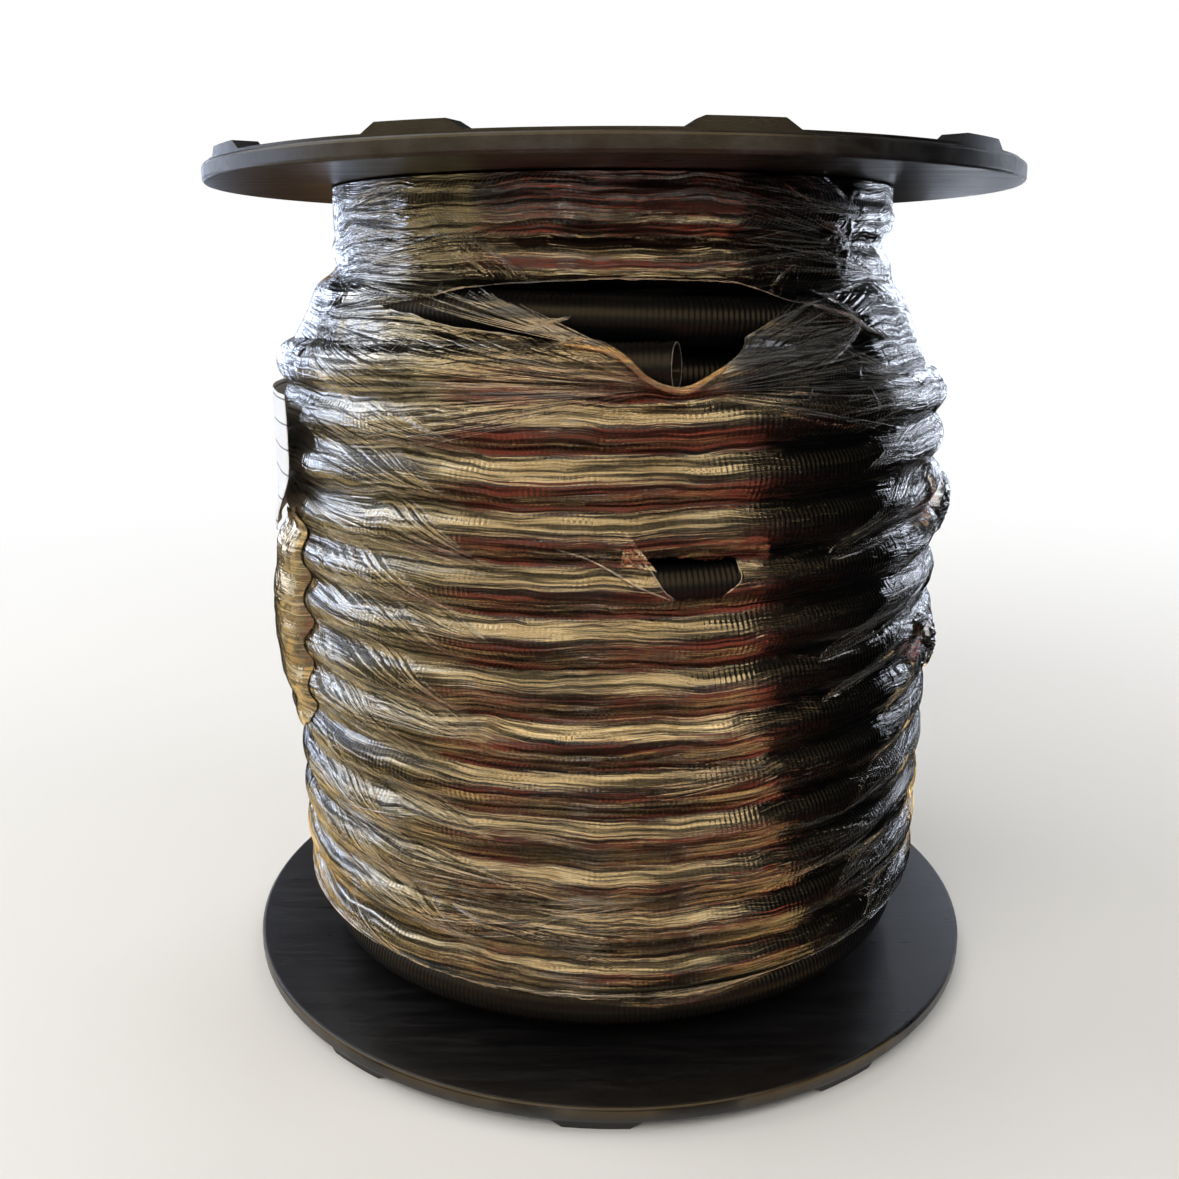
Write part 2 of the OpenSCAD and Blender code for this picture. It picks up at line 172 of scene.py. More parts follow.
softbox("front_box", -25, 1.25, 1.35, (1.6, 0.9), 3.2, "#fff9f0")
softbox("left_box", -100, 0.9, 1.3, (1.1, 1.1), 2.6, "#ffffff")
softbox("back_box", 165, 1.1, 1.5, (1.3, 0.9), 2.6, "#ffffff")
softbox("right_box", 80, 1.1, 1.4, (0.7, 0.9), 2.4, "#ffffff")

CARD_COLUMNS = 61
PATCH_BLUR = 0.03


def glowing_cloth(node, place, colours, patch, share, strength):
    """Cloth that glows in patches of two colours, the second where a noise is over share."""
    noise = node("TexNoise", Vector=place, Scale=1 / patch, Detail=2.0)
    blend = node("MapRange", noise, share - PATCH_BLUR, share + PATCH_BLUR)
    colour = node("Mix", blend, srgb(colours[0]), srgb(colours[1]), data_type="RGBA")
    return node("Emission", colour, strength)


def card(name, azimuths, profile, dark, pale, patch, share, strength):
    """A card that only reflections see: a profile of (radius, height) in metres turned about
    the reel between two azimuths. Its cloth has patches of that size in metres."""
    cloth = material_of(name + "_cloth", glowing_cloth, (dark, pale), patch, share, strength)
    around = np.radians(np.linspace(*azimuths, CARD_COLUMNS))
    out, up = (np.array(v)[:, None] * 1000 for v in zip(*profile))
    points = np.stack([out * np.sin(around), -out * np.cos(around), up + 0 * around], -1)
    made = mesh_object(name, points, grid_quads(len(profile), CARD_COLUMNS), cloth)
    for ray in ("camera", "diffuse", "transmission", "shadow"):
        setattr(made, "visible_" + ray, False)


OVERHEAD = [(2.3, 0.45), (1.9, 1.3), (1.1, 2.0), (0.6, 2.2), (0.01, 2.3)]
card("warm_reflector", (-68, 47), OVERHEAD, "#a27d49", "#ffe0a8", 0.40, 0.46, 2.3)
card("cream_reflector", (-84, -68), OVERHEAD, "#9c8a68", "#fdecc8", 0.30, 0.46, 2.9)
card("pale_reflector", (-100, -84), OVERHEAD, "#8f8778", "#f6efe0", 0.30, 0.46, 3.4)
card("silver_reflector", (-140, -100), OVERHEAD, "#6d6c68", "#eef1f6", 0.30, 0.46, 3.4)
card("small_window", (-20, -14), [(1.5, 0.28), (1.5, 0.42)], "#404040", "#ffffff", 0.06, 0.5, 3.2)
card("floor_glint", (-40, 20), [(0.168, 0.004), (0.184, 0.004)], "#2a2016", "#ffffff", 0.03, 0.60, 2.6)
card("dusk_wall", (-52, 47), [(1.1, 0.0035), (1.6, 0.003), (1.7, 0.16), (1.7, 0.60)],
    "#121314", "#b3aea4", 0.24, 0.52, 1.0)
card("oxblood_cloth", (-52, 47), [(0.20, 0.003), (1.1, 0.003)], "#5a4230", "#d0604a", 0.15, 0.505, 1.3)
card("near_cloth", (-120, 47), [(0.158, 0.0025), (0.21, 0.0025)], "#4a3a26", "#c8a468", 0.05, 0.46, 2.2)
card("left_cloth", (-120, -52), [(0.20, 0.003), (1.6, 0.003), (1.7, 0.16), (1.7, 0.72)],
    "#3c3628", "#b8a274", 0.16, 0.48, 1.7)
card("dark_cloth", (47, 240), [(0.158, 0.003), (1.6, 0.003), (1.7, 0.16), (1.7, 1.3)],
    "#050505", "#1f1c1a", 0.30, 0.50, 1.0)
card("brown_bench", (186, 203), [(1.25, 0.05), (1.35, 0.5)], "#4a3626", "#8d6c4c", 0.20, 0.50, 1.0)
card("back_canopy", (112, 232), [(1.7, 1.3), (1.2, 1.9), (0.01, 2.3)],
    "#0a0b0e", "#f6f8ff", 0.55, 0.58, 1.1)
card("black_flag", (47, 112), [(0.158, 0.005), (1.5, 0.005), (1.5, 0.6), (1.2, 1.3), (0.01, 1.6)],
    "#020202", "#050505", 0.5, 0.5, 1.0)
card("cool_left_window", (-157, -86), [(1.25, 0.02), (1.4, 0.12), (1.4, 0.62)],
    "#0e0f14", "#dde8ff", 0.16, 0.49, 3.5)
card("cool_right_window", (110, 160), [(1.25, 0.02), (1.4, 0.10), (1.4, 0.9)],
    "#06070a", "#e6eeff", 0.10, 0.53, 4.0)
card("warm_right_foot", (104, 172), [(0.158, 0.004), (0.30, 0.004)], "#5a4426", "#ffdca0", 0.05, 0.49, 2.4)

world = bpy.data.worlds.new("white_surround")
bpy.context.scene.world = world
world.use_nodes = True
world.node_tree.nodes.clear()
sky_node = partial(add_node, world.node_tree)
sky_level = sky_node("MapRange", seen_rays(sky_node), 0, 1, SKY_LIGHT, 1.0)
sky_node("OutputWorld", sky_node("Background", WHITE, sky_level))

# ---- Flanges ---------------------------------------------------------------------
# Two injection-moulded discs of black high-impact polystyrene with ribs and lugs on their
# outer faces and a smooth inner face. They are drawn together by the tie rods.

FLANGE_R = 152.4
RIM_EDGE = 1.6


def moulded_polystyrene(node, place):
    """Black high-impact polystyrene, moulded in a fine-grained tool: satin, with handling
    scuffs and hairline scratches, and a painted highlight: paler in patches along the rim's rounded edge."""
    axes = node("SeparateXYZ", place).outputs
    radius = node("VectorMath", node("CombineXYZ", axes["X"], axes["Y"]), operation="LENGTH")
    # painted highlight: a paler band as wide as the rim's edge, broken up by 12 mm patches, stands in for
    # the light the rounded rim catches
    rim = node("MapRange", radius, (FLANGE_R - RIM_EDGE) / 1000, FLANGE_R / 1000)
    patchy = node("TexNoise", Vector=place, Scale=1000 / 12, Detail=4.0, Roughness=0.6)
    rim_highlight = node("Math", rim, node("MapRange", patchy, 0.42, 0.7), operation="MULTIPLY")
    # dust and scuffs: long faint smears 40 mm by 5 mm, which dull the satin too
    long_way = node("Mapping", Vector=place, Scale=(1000 / 40, 1000 / 5, 1000 / 5), Rotation=(0, 0, 0.5))
    smears = node("TexNoise", Vector=long_way, Scale=1.0, Detail=5.0, Roughness=0.65, Distortion=0.6)
    dusty = node("MapRange", smears, 0.45, 0.8, 0, 0.3)
    # the satin is paled by the dust smears and by the painted rim highlight
    dust_and_rim_highlight = node("Math", rim_highlight, dusty, operation="MAXIMUM")
    colour = node("Mix", dust_and_rim_highlight, srgb("#0f0f11"), srgb("#2a2b2e"), data_type="RGBA")
    dull = node("MapRange", smears, 0.3, 0.75, 0.26, 0.44)
    # mould grain 0.5 mm, and hairline scratches that cross it
    grain = node("TexNoise", Vector=place, Scale=1000 / 0.5, Detail=2.0)
    scratch_way = node("Mapping", Vector=place, Scale=(1000 / 60, 1000 / 1.2, 1000 / 3),
        Rotation=(0, 0, -0.35))
    scratches = node("TexNoise", Vector=scratch_way, Scale=1.0, Detail=3.0)
    relief = node("Math", grain, scratches, operation="ADD")
    bump = node("Bump", Height=relief, Strength=0.22, Distance=0.0002)
    return node("BsdfPrincipled", Base_Color=colour, Roughness=dull, IOR=1.59, Normal=bump)


def dress(node_names, material):
    """Gives CAD nodes one material."""
    for name in node_names:
        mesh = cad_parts[name].data
        mesh.materials.clear()
        mesh.materials.append(material)


dress(["lower_flange", "upper_flange"], material_of("moulded_black_polystyrene", moulded_polystyrene))

# ---- Barrel ----------------------------------------------------------------------
# The tube that the winding lies on, cut from extruded black polypropylene pipe and held on
# the flanges' spigots. The winding hides it.


def extruded_polypropylene(node, place):
    """Black polypropylene pipe: waxy, with die lines along its length 1.5 mm apart."""
    along = node("Mapping", Vector=place, Scale=(1000 / 1.5, 1000 / 1.5, 1000 / 80))
    lines = node("TexNoise", Vector=along, Scale=1.0, Detail=2.0)
    colour = node("Mix", lines, srgb("#1b1c1e"), srgb("#28292c"), data_type="RGBA")
    bump = node("Bump", Height=lines, Strength=0.3, Distance=0.0002)
    return node("BsdfPrincipled", Base_Color=colour, Roughness=0.42, IOR=1.49, Normal=bump)


dress(["barrel"], material_of("extruded_black_polypropylene", extruded_polypropylene))

# ---- Arbor bushes ----------------------------------------------------------------
# A flanged bush pressed into each hub, moulded in dark grey nylon. A spindle turns in it.


def moulded_nylon(node, place):
    """Dark grey nylon: slightly waxy, burnished smooth in patches 6 mm across."""
    rubbed = node("TexNoise", Vector=place, Scale=1000 / 6, Detail=3.0)
    colour = node("Mix", rubbed, srgb("#34363a"), srgb("#45474c"), data_type="RGBA")
    gloss = node("MapRange", rubbed, 0, 1, 0.3, 0.5)
    grain = node("TexNoise", Vector=place, Scale=1000 / 0.4, Detail=2.0)
    bump = node("Bump", Height=grain, Strength=0.2, Distance=0.0001)
    return node("BsdfPrincipled", Base_Color=colour, Roughness=gloss, IOR=1.53, Normal=bump)


dress(["lower_arbor_bush", "upper_arbor_bush"], material_of("moulded_grey_nylon", moulded_nylon))

# ---- Tie rods, washers and nuts --------------------------------------------------
# Four steel rods run through the barrel and clamp it between the flanges, with a washer and
# a nut at each end in its own cup. All are bright zinc plated.


def zinc_plated_steel(node, place):
    """Bright zinc on steel: bluish grey metal with a soft spangle 3 mm across."""
    spangle = node("TexVoronoi", Vector=place, Scale=1000 / 3)
    tone = node("SeparateColor", spangle.outputs["Color"])
    colour = node("Mix", tone, srgb("#b7bbc2"), srgb("#d3d6da"), data_type="RGBA")
    gloss = node("MapRange", tone.outputs[1], 0, 1, 0.24, 0.38)
    return node("BsdfPrincipled", Base_Color=colour, Metallic=1.0, Roughness=gloss)


dress(["tie_rods", "lower_tie_washers", "upper_tie_washers", "lower_tie_nuts", "upper_tie_nuts"],
    material_of("zinc_plated_steel", zinc_plated_steel))

# ---- Outer layer -----------------------------------------------------------------
# Half-inch corrugated conduit in black polyethylene, 16 mm outside, blown and corrugated on
# the line. It climbs in one right-handed helix to a cut end at the front.

FACE_Z = 10.0
TRAVERSE = 298.0
TOP_Z = FACE_Z + TRAVERSE
TUBE_R = 8.0
LAY_GAP = 0.3
NEST = 2 * TUBE_R + 0.9
OUTER_R = 122.3
OUTER_START_R = 112.4
OUTER_CLIMB = 1.4
OUTER_START_DEG = 116.0
OUTER_PITCH = 17.2
OUTER_TURNS = 13.43
RIB_PITCH = 1.75
RIB_DEPTH = 0.42
# a rib's rings: how far along the rib, and how deep, as shares of the pitch and the depth
RIB_RINGS = ((0.0, 0.0), (0.5, 0.0), (0.75, 1.0))
TUBE_SIDES = 14
STEPS_PER_TURN = 1440
END_RUN_POINTS = 30
PIECE_RIBS = 1600


def climbing_radius(turns):
    """Radius of the tube's middle as it climbs on the layers below: a straight rise with the
    turns from the start radius, held at the layer's own radius once it is reached."""
    return OUTER_START_R + (OUTER_R - OUTER_START_R) * np.minimum(1, turns / OUTER_CLIMB)


def outer_layer_place(turns):
    """Radius and height of the outer layer's middle after so many turns. The height rises
    evenly; before turn 0 the tube lies on the flange, nested inside the turn above it."""
    above = climbing_radius(turns + 1)
    nested = above - np.sqrt(np.maximum(0, NEST ** 2 - (OUTER_PITCH * (turns + 1)) ** 2))
    radius = np.where(turns >= 0, climbing_radius(turns), np.minimum(climbing_radius(turns), nested))
    height = FACE_Z + TUBE_R + LAY_GAP + OUTER_PITCH * np.maximum(0, turns)
    return radius, height


def reel_points(radius, deg, height):
    """Points at a radius, an angle in degrees and a height: (r cos a, r sin a, z)."""
    angle = np.radians(deg)
    return np.stack([radius * np.cos(angle), radius * np.sin(angle), height], -1)


def unit(vectors, least=0.0):
    """Vectors divided by their own length plus least."""
    return vectors / (np.linalg.norm(vectors, axis=-1, keepdims=True) + least)


def helix(place, start_deg, first, last):
    """Points along a layer's middle line, with a straight run of one diameter at each end,
    and how far along each point is: the angle grows evenly with the turns."""
    turns = np.linspace(first, last, int((last - first) * STEPS_PER_TURN) + 1)
    radius, height = place(turns)
    line = reel_points(radius, start_deg + 360 * turns, height)
    run = np.linspace(2 * TUBE_R, 0.5, END_RUN_POINTS)[:, None]
    first_way, last_way = line[1] - line[0], line[-1] - line[-2]
    head = line[0] - run * first_way / np.linalg.norm(first_way)
    tail = line[-1] + run[::-1] * last_way / np.linalg.norm(last_way)
    line = np.concatenate([head, line, tail])
    steps = np.linalg.norm(np.diff(line, axis=0), axis=1)
    return line, np.concatenate([[0], np.cumsum(steps)])


def swept(line, along, stations, radii, sides, tilt=0.0):
    """Rings of a tube: at each station along the line a circle of the given radius stands
    square to the line, its first axis pointing away from the reel's axis. tilt leans a ring,
    as the slope of its plane across the tube."""
    heading = unit(np.gradient(line, axis=0))
    middle, ahead = (np.stack([np.interp(stations, along, way[:, i]) for i in range(3)], 1)
        for way in (line, heading))
    ahead = unit(ahead)
    side = unit(np.cross(ahead, (0, 0, 1.0)))
    up = np.cross(side, ahead)
    a = np.arange(sides) * 2 * np.pi / sides
    out = np.cos(a)[None, :, None] * side[:, None] + np.sin(a)[None, :, None] * up[:, None]
    lean = (radii * tilt)[:, None] * np.cos(a)[None, :]
    return middle[:, None] + radii[:, None, None] * out + lean[:, :, None] * ahead[:, None]


def ribbed_stations(start, end):
    """Stations and radii of the rings of whole ribs between two places along the tube: each
    rib is a flat crest and a groove with a V section."""
    ribs = int((end - start) / RIB_PITCH)
    at = np.arange(ribs)[:, None] + np.array([r[0] for r in RIB_RINGS])[None]
    deep = np.tile([r[1] for r in RIB_RINGS], (ribs, 1))
    return start + at.ravel() * RIB_PITCH, TUBE_R - RIB_DEPTH * deep.ravel()


def tube_object(name, rings, material):
    """A closed tube from its rings, with a flat cap at each end."""
    count, sides = rings.shape[:2]
    quads = [list(q) for q in grid_quads(count, sides, wrap_columns=True)[:, ::-1]]
    last = (count - 1) * sides
    quads.append(list(range(sides)))
    quads.append([last + k for k in range(sides - 1, -1, -1)])
    return mesh_object(name, rings, quads, material)


def corrugated_polyethylene(node, place):
    """Black polyethylene conduit straight off the corrugator: a waxy gloss, dulled in patches
    25 mm long by handling. The fine chatter in its skin is drawn 0.6 mm apart, where the real
    one is 0.3 mm apart."""
    handled = node("TexNoise", Vector=place, Scale=1000 / 25, Detail=4.0)
    colour = node("Mix", handled, srgb("#0a0a0b"), srgb("#131314"), data_type="RGBA")
    gloss = node("MapRange", handled, 0.3, 0.7, 0.28, 0.4)
    chatter = node("TexNoise", Vector=place, Scale=1000 / 0.6, Detail=1.0)
    bump = node("Bump", Height=chatter, Strength=0.25, Distance=0.0001)
    return node("BsdfPrincipled", Base_Color=colour, Roughness=gloss, IOR=1.51, Specular_IOR_Level=0.24,
        Normal=bump)


def finish_piece(piece, slot, *nodes):
    """Puts a piece on the reel's one body and hides the CAD nodes it stands for. Its slot is not used."""
    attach(piece, "root")
    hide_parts(*nodes)


WALL = 1.1
MOUTH_LEAN = -0.29
MOUTH_DEEP = 45.0
MOUTH_SIDES = 48
BURR_R = 0.22
BURR_SIDES = 8

conduit = material_of("corrugated_black_polyethylene", corrugated_polyethylene)
outer_line, outer_along = helix(outer_layer_place, OUTER_START_DEG, -1, OUTER_TURNS)
outer_end = outer_along[-1]
outer_at, outer_radii = ribbed_stations(0, outer_end - 4)
piece_rings = PIECE_RIBS * len(RIB_RINGS)
pieces_needed = int(np.ceil(len(outer_at) / piece_rings))
# the tube is drawn in lengths, so that none has too many triangles
for number in range(pieces_needed):
    these = slice(number * piece_rings, (number + 1) * piece_rings + 1)
    at, radii = outer_at[these], outer_radii[these]
    lean = 0 * at
    if number == pieces_needed - 1:
        # the cut end: a rounded lip, the wall's thickness, and the bore behind it
        lip = [(2.2, 0), (0.3, 0), (0, 0.3), (0, WALL - 0.2), (0.3, WALL), (MOUTH_DEEP, WALL)]
        at = np.concatenate([at, [outer_end - back for back, inwards in lip]])
        radii = np.concatenate([radii, [TUBE_R - inwards for back, inwards in lip]])
        lean = np.concatenate([lean, np.full(len(lip), MOUTH_LEAN)])
    rings = swept(outer_line, outer_along, at, radii, TUBE_SIDES, lean)
    turn_piece = tube_object(f"outer_layer_length_{number + 1}", rings, conduit)
    finish_piece(turn_piece, "tube_plastic", "outer_layer")


def cut_polyethylene(node, place, colour, roughness, grain_mm):
    """Polyethylene as a saw or a mould leaves it, unpolished: matt, with a torn grain."""
    grain = node("TexNoise", Vector=place, Scale=1000 / grain_mm, Detail=3.0)
    tone = node("MapRange", grain, 0, 1, 0.6, 1.3)
    shade = node("VectorMath", srgb(colour)[:3], tone, operation="SCALE")
    bump = node("Bump", Height=grain, Strength=0.4, Distance=0.0003)
    return node("BsdfPrincipled", Base_Color=shade, Roughness=roughness, IOR=1.51, Normal=bump)


# inside, a darker, matt lining just within the bore's wall is painted shade, and the saw has left a pale
# burr round its mouth
bore_at = np.array([outer_end - MOUTH_DEEP + 2, outer_end - 0.1])
bore_radii = np.full(2, TUBE_R - WALL - 0.15)
bore = mesh_object("outer_layer_bore_shade_lining",
    swept(outer_line, outer_along, bore_at, bore_radii, MOUTH_SIDES, MOUTH_LEAN),
    grid_quads(2, MOUTH_SIDES, wrap_columns=True),
    material_of("painted_shade_bore", cut_polyethylene, "#050505", 0.9, 0.8))
finish_piece(bore, "tube_plastic", "outer_layer")
mouth_radii = np.array([TUBE_R - WALL / 2])
mouth = swept(outer_line, outer_along, outer_along[-1:], mouth_radii, MOUTH_SIDES, MOUTH_LEAN)[0]
mouth_out = unit(mouth - mouth.mean(0))
mouth_ahead = unit(np.cross(mouth_out, np.roll(mouth_out, -1, axis=0)))
burr_turn = (np.arange(BURR_SIDES) * 2 * np.pi / BURR_SIDES)[None, :, None]
burr_r = BURR_R * np.random.default_rng(81).uniform(0.6, 1.4, MOUTH_SIDES)[:, None, None]
burr_round = np.cos(burr_turn) * mouth_out[:, None] + np.sin(burr_turn) * mouth_ahead[:, None]
burr_quads = grid_quads(MOUTH_SIDES + 1, BURR_SIDES, wrap_columns=True) % (MOUTH_SIDES * BURR_SIDES)
burr = mesh_object("outer_layer_cut_burr", mouth[:, None] + burr_r * burr_round, burr_quads,
    material_of("sawn_polyethylene", cut_polyethylene, "#6c6a66", 0.6, 0.5))
finish_piece(burr, "tube_plastic", "outer_layer")

# ---- Second layer ----------------------------------------------------------------
# The same conduit one layer down, seen under the upper flange where the layer above has been
# taken off. It comes down in a left-handed helix and its third turn rides up.

SECOND_R = 99.4
SECOND_LEAD_R = 86.4
SECOND_LIFT = 8.4
SECOND_START_DEG = 161.0
SECOND_PITCH = 18.3
SECOND_LEAD = 0.32
SECOND_TURNS = 4.125


def smooth_step(x):
    """0 below 0, 1 above 1, and 3x^2 - 2x^3 between."""
    x = np.clip(x, 0, 1)
    return x * x * (3 - 2 * x)


def second_layer_place(turns):
    """Radius and height of the second layer's middle: outwards against the flange for the
    first third of a turn, then down evenly, with the third turn lifted outwards."""
    lead = (SECOND_R - SECOND_LEAD_R) * (1 - np.minimum(1, turns / SECOND_LEAD))
    lift = smooth_step((turns - 1.6) / 0.5) - smooth_step((turns - 2.6) / 0.5)
    height = TOP_Z - TUBE_R - LAY_GAP - SECOND_PITCH * np.maximum(0, turns - SECOND_LEAD)
    return SECOND_R - lead + SECOND_LIFT * lift, height


second_line, second_along = helix(second_layer_place, SECOND_START_DEG, 0, SECOND_TURNS)
second_at, second_radii = ribbed_stations(0, second_along[-1])
second_rings = swept(second_line, second_along, second_at, second_radii, TUBE_SIDES)
second_layer = tube_object("second_layer_turns", second_rings, conduit)
finish_piece(second_layer, "tube_plastic", "second_layer")

# ---- Inner layers ----------------------------------------------------------------
# The conduit's hidden turns, which fill the reel from the barrel out to the layers that show.
# Only glimpses of them can be had between the turns above.

INNER_SIDES = 10
INNER_STEP = 7.0
INNER_TUBE_R = TUBE_R - 0.2


def inner_turns(name, radius, low, high, node):
    """One hidden layer: an even helix of plain rings at one radius between two heights."""
    turns = (high - low) / OUTER_PITCH

    def place(t):
        return np.full_like(t, radius), low + OUTER_PITCH * t

    line, along = helix(place, 0.0, 0, turns)
    at = np.arange(0, along[-1], INNER_STEP)
    rings = swept(line, along, at, np.full(len(at), INNER_TUBE_R), INNER_SIDES)
    finish_piece(tube_object(name, rings, conduit), "tube_plastic", node)


inner_turns("hidden_turns_outer", 105.2, 45.0, 215.0, "inner_layers")
inner_turns("hidden_turns_middle", 88.0, 20.0, 214.0, "inner_layers")
inner_turns("hidden_turns_neck", 83.1, 232.0, 280.0, "neck_layers")

# ---- Stretch film ----------------------------------------------------------------
# Clear linear low-density polyethylene film, 20 micrometres, pulled tight round the turns by
# hand in several wraps. It hugs the turns, runs in creases, and is torn open at the cut end.

# Millimetres and degrees. The balls are those whose rolling over the turns shapes the film: a
# small one between turns, a larger one at the shoulder, and the largest round the reel.
FILM_LIFT = 0.35
COLUMN_DEG = 0.5
ROW_MM = 0.6
FILM_FLOOR = 13.0
BARE_R = 74.0
TIGHT_BALL = 3.4
TAUT_BALL = 55.0
ROUND_BALL = 210.0
FILM_R = OUTER_R + TUBE_R
TAUT_FROM = 236.0
TAUT_TO = 268.0
TAUT_BLEND = 12.0
STANDING_FROM = 286.0
STANDING_BLEND = 6.0
WIDEST_BELOW_FLANGE = (279.0, 292.0)
LATTICE = 997

table_deg = np.arange(-180, 180, COLUMN_DEG)
table_height = np.arange(FILM_FLOOR, TOP_Z, ROW_MM)


def layer_outline(place, start_deg, first, last):
    """Outer radius of one layer over the table of angles and heights: each turn adds the edge
    of its circle, middle radius + sqrt(tube radius^2 - height off the middle^2)."""
    outline = np.full((len(table_deg), len(table_height)), BARE_R)
    for number in range(int(last) + 3):
        turns = (table_deg - start_deg) / 360 + number - 1
        there = (turns >= -1) & (turns <= last)
        radius, height = place(np.clip(turns, first, last))
        off = table_height[None] - height[:, None]
        edge = radius[:, None] + np.sqrt(np.maximum(0, TUBE_R ** 2 - off ** 2))
        hit = (np.abs(off) < TUBE_R) & there[:, None]
        outline = np.maximum(outline, np.where(hit, edge, BARE_R))
    return outline


def spread(surface, ball, step, reach, axis):
    """Greatest value nearby less the drop of a parabola of the ball's curvature, distance^2 /
    (2 ball). Angles wrap round; heights repeat their end value."""
    best = surface.copy()
    for cells in range(1, int(reach / step) + 1):
        drop = (cells * step) ** 2 / (2 * ball)
        for shift in (cells, -cells):
            moved = np.roll(surface, shift, axis=axis)
            if axis == 1 and shift > 0:
                moved[:, :shift] = surface[:, :1]
            if axis == 1 and shift < 0:
                moved[:, shift:] = surface[:, -1:]
            best = np.maximum(best, moved - drop)
    return best


def rolled_over(surface, ball, reach):
    """What a ball rolled up and down the outside can't get into: spread, then its opposite."""
    return -spread(-spread(surface, ball, ROW_MM, reach, 1), ball, ROW_MM, reach, 1)


under_film = np.maximum(layer_outline(outer_layer_place, OUTER_START_DEG, -1, OUTER_TURNS),
    layer_outline(second_layer_place, SECOND_START_DEG, 0, SECOND_TURNS))
tight = rolled_over(under_film, TIGHT_BALL, 9)
taut = rolled_over(under_film, TAUT_BALL, 36)
shoulder = smooth_step((table_height - TAUT_FROM) / TAUT_BLEND)
shoulder = shoulder * (1 - smooth_step((table_height - TAUT_TO) / TAUT_BLEND))
film_table = tight + (taut - tight) * shoulder
film_table = spread(film_table, ROUND_BALL, COLUMN_DEG * math.pi / 180 * FILM_R, 80, 0)
film_table = np.maximum(film_table, under_film) + FILM_LIFT
# under the flange the film stands straight up from the widest turn below
near_top = (table_height > WIDEST_BELOW_FLANGE[0]) & (table_height < WIDEST_BELOW_FLANGE[1])
standing = np.maximum(film_table, film_table[:, near_top].max(axis=1, keepdims=True) - 1.0)
standing_share = smooth_step((table_height - STANDING_FROM) / STANDING_BLEND)
film_table = film_table + (standing - film_table) * standing_share


def film_at(deg, height):
    """Radius of the smooth film at angles and heights, blended between the table's points."""
    column = np.mod(np.asarray(deg) + 180, 360) / COLUMN_DEG
    row = np.clip((height - FILM_FLOOR) / ROW_MM, 0, len(table_height) - 1.001)
    c, r = np.floor(column).astype(int), np.floor(row).astype(int)
    fc, fr = column - c, row - r
    c, beside = c % len(table_deg), (c + 1) % len(table_deg)
    lower = film_table[c, r] * (1 - fc) + film_table[beside, r] * fc
    upper = film_table[c, r + 1] * (1 - fc) + film_table[beside, r + 1] * fc
    return lower * (1 - fr) + upper * fr


def patches(u, v, around, seed):
    """Smooth random field from 0 to 1: random values on a lattice one unit apart, blended with
    smoothstep weights. It repeats after around cells of u."""
    table = np.random.default_rng(seed).random((around, LATTICE))
    iu, iv = np.floor(u).astype(int), np.floor(v).astype(int)
    fu, fv = smooth_step(u - iu), smooth_step(v - iv)
    a, b, c, d = iu % around, (iu + 1) % around, iv % LATTICE, (iv + 1) % LATTICE
    return ((table[a, c] * (1 - fu) + table[b, c] * fu) * (1 - fv)
        + (table[a, d] * (1 - fu) + table[b, d] * fu) * fv)


def ridges(field, sharpness):
    """Ridges where a field from 0 to 1 passes its middle: (1 - |2 f - 1|)^sharpness."""
    return (1 - np.abs(2 * field - 1)) ** sharpness


# Where film is gathered to a point and fans out: angle, height, side, the fan's lowest and
# highest direction in degrees, its reach, and the height of its folds.
PINCH = (-80.9, 242.9)
FANS = [(-84, 244, -1, -14, 34, 130, 0.6), (*PINCH, 1, -14, 40, 125, 0.7), (-152, 263, 1, -34, 12, 95, 0.8),
    (-44, 262, -1, -30, 25, 60, 0.8), (-34, 240, -1, -20, 20, 60, 0.8)]
TEAR_FANS = len(FANS)
fan_draw = np.random.default_rng(41)
# the neck's film is drawn in at the left and the right too
NECK_GATHERS = ((1, -160), (-1, -38), (1, 20), (-1, 110), (1, 130))
NECK_GATHER_Z = (277, 286, 296)
for side, gather_deg in NECK_GATHERS:
    for neck_z in NECK_GATHER_Z:
        FANS.append((gather_deg + fan_draw.uniform(-6, 6), neck_z, side, -fan_draw.uniform(4, 12),
            fan_draw.uniform(10, 26), fan_draw.uniform(80, 125), fan_draw.uniform(0.4, 0.7)))
# small fans lie all over the reel
SMALL_FANS = 40
for number in range(SMALL_FANS):
    FANS.append((fan_draw.uniform(-180, 180), fan_draw.uniform(30, 236), fan_draw.choice([-1, 1]),
        -fan_draw.uniform(6, 20), fan_draw.uniform(6, 20), fan_draw.uniform(35, 90),
        fan_draw.uniform(0.3, 0.6)))
# drawn into each gap at the left and the right, the film is combed slantwise over the turns
SIDE_GATHERS = ((-1, -112), (1, -52), (-1, 20), (1, 95), (-1, 150))
SIDE_GATHER_TURNS = 12
SIDE_FANS = len(SIDE_GATHERS) * SIDE_GATHER_TURNS
for side, gather_deg in SIDE_GATHERS:
    for turn_number in range(SIDE_GATHER_TURNS):
        FANS.append((gather_deg + fan_draw.uniform(-9, 9),
            FACE_Z + OUTER_PITCH * (turn_number + 1 + fan_draw.uniform(-0.3, 0.3)), side,
            fan_draw.uniform(2, 8), fan_draw.uniform(22, 36), fan_draw.uniform(60, 105),
            fan_draw.uniform(0.5, 0.9)))
FAN_CELL_DEG = 3.0
FAN_FULL_FOLD = 90.0
# A fan's streaks: their length, how far apart they lie, and where they reach full height.
STREAK_MM = 45.0
STREAK_DEG = 1.4
STREAK_FULL_MM = 40.0

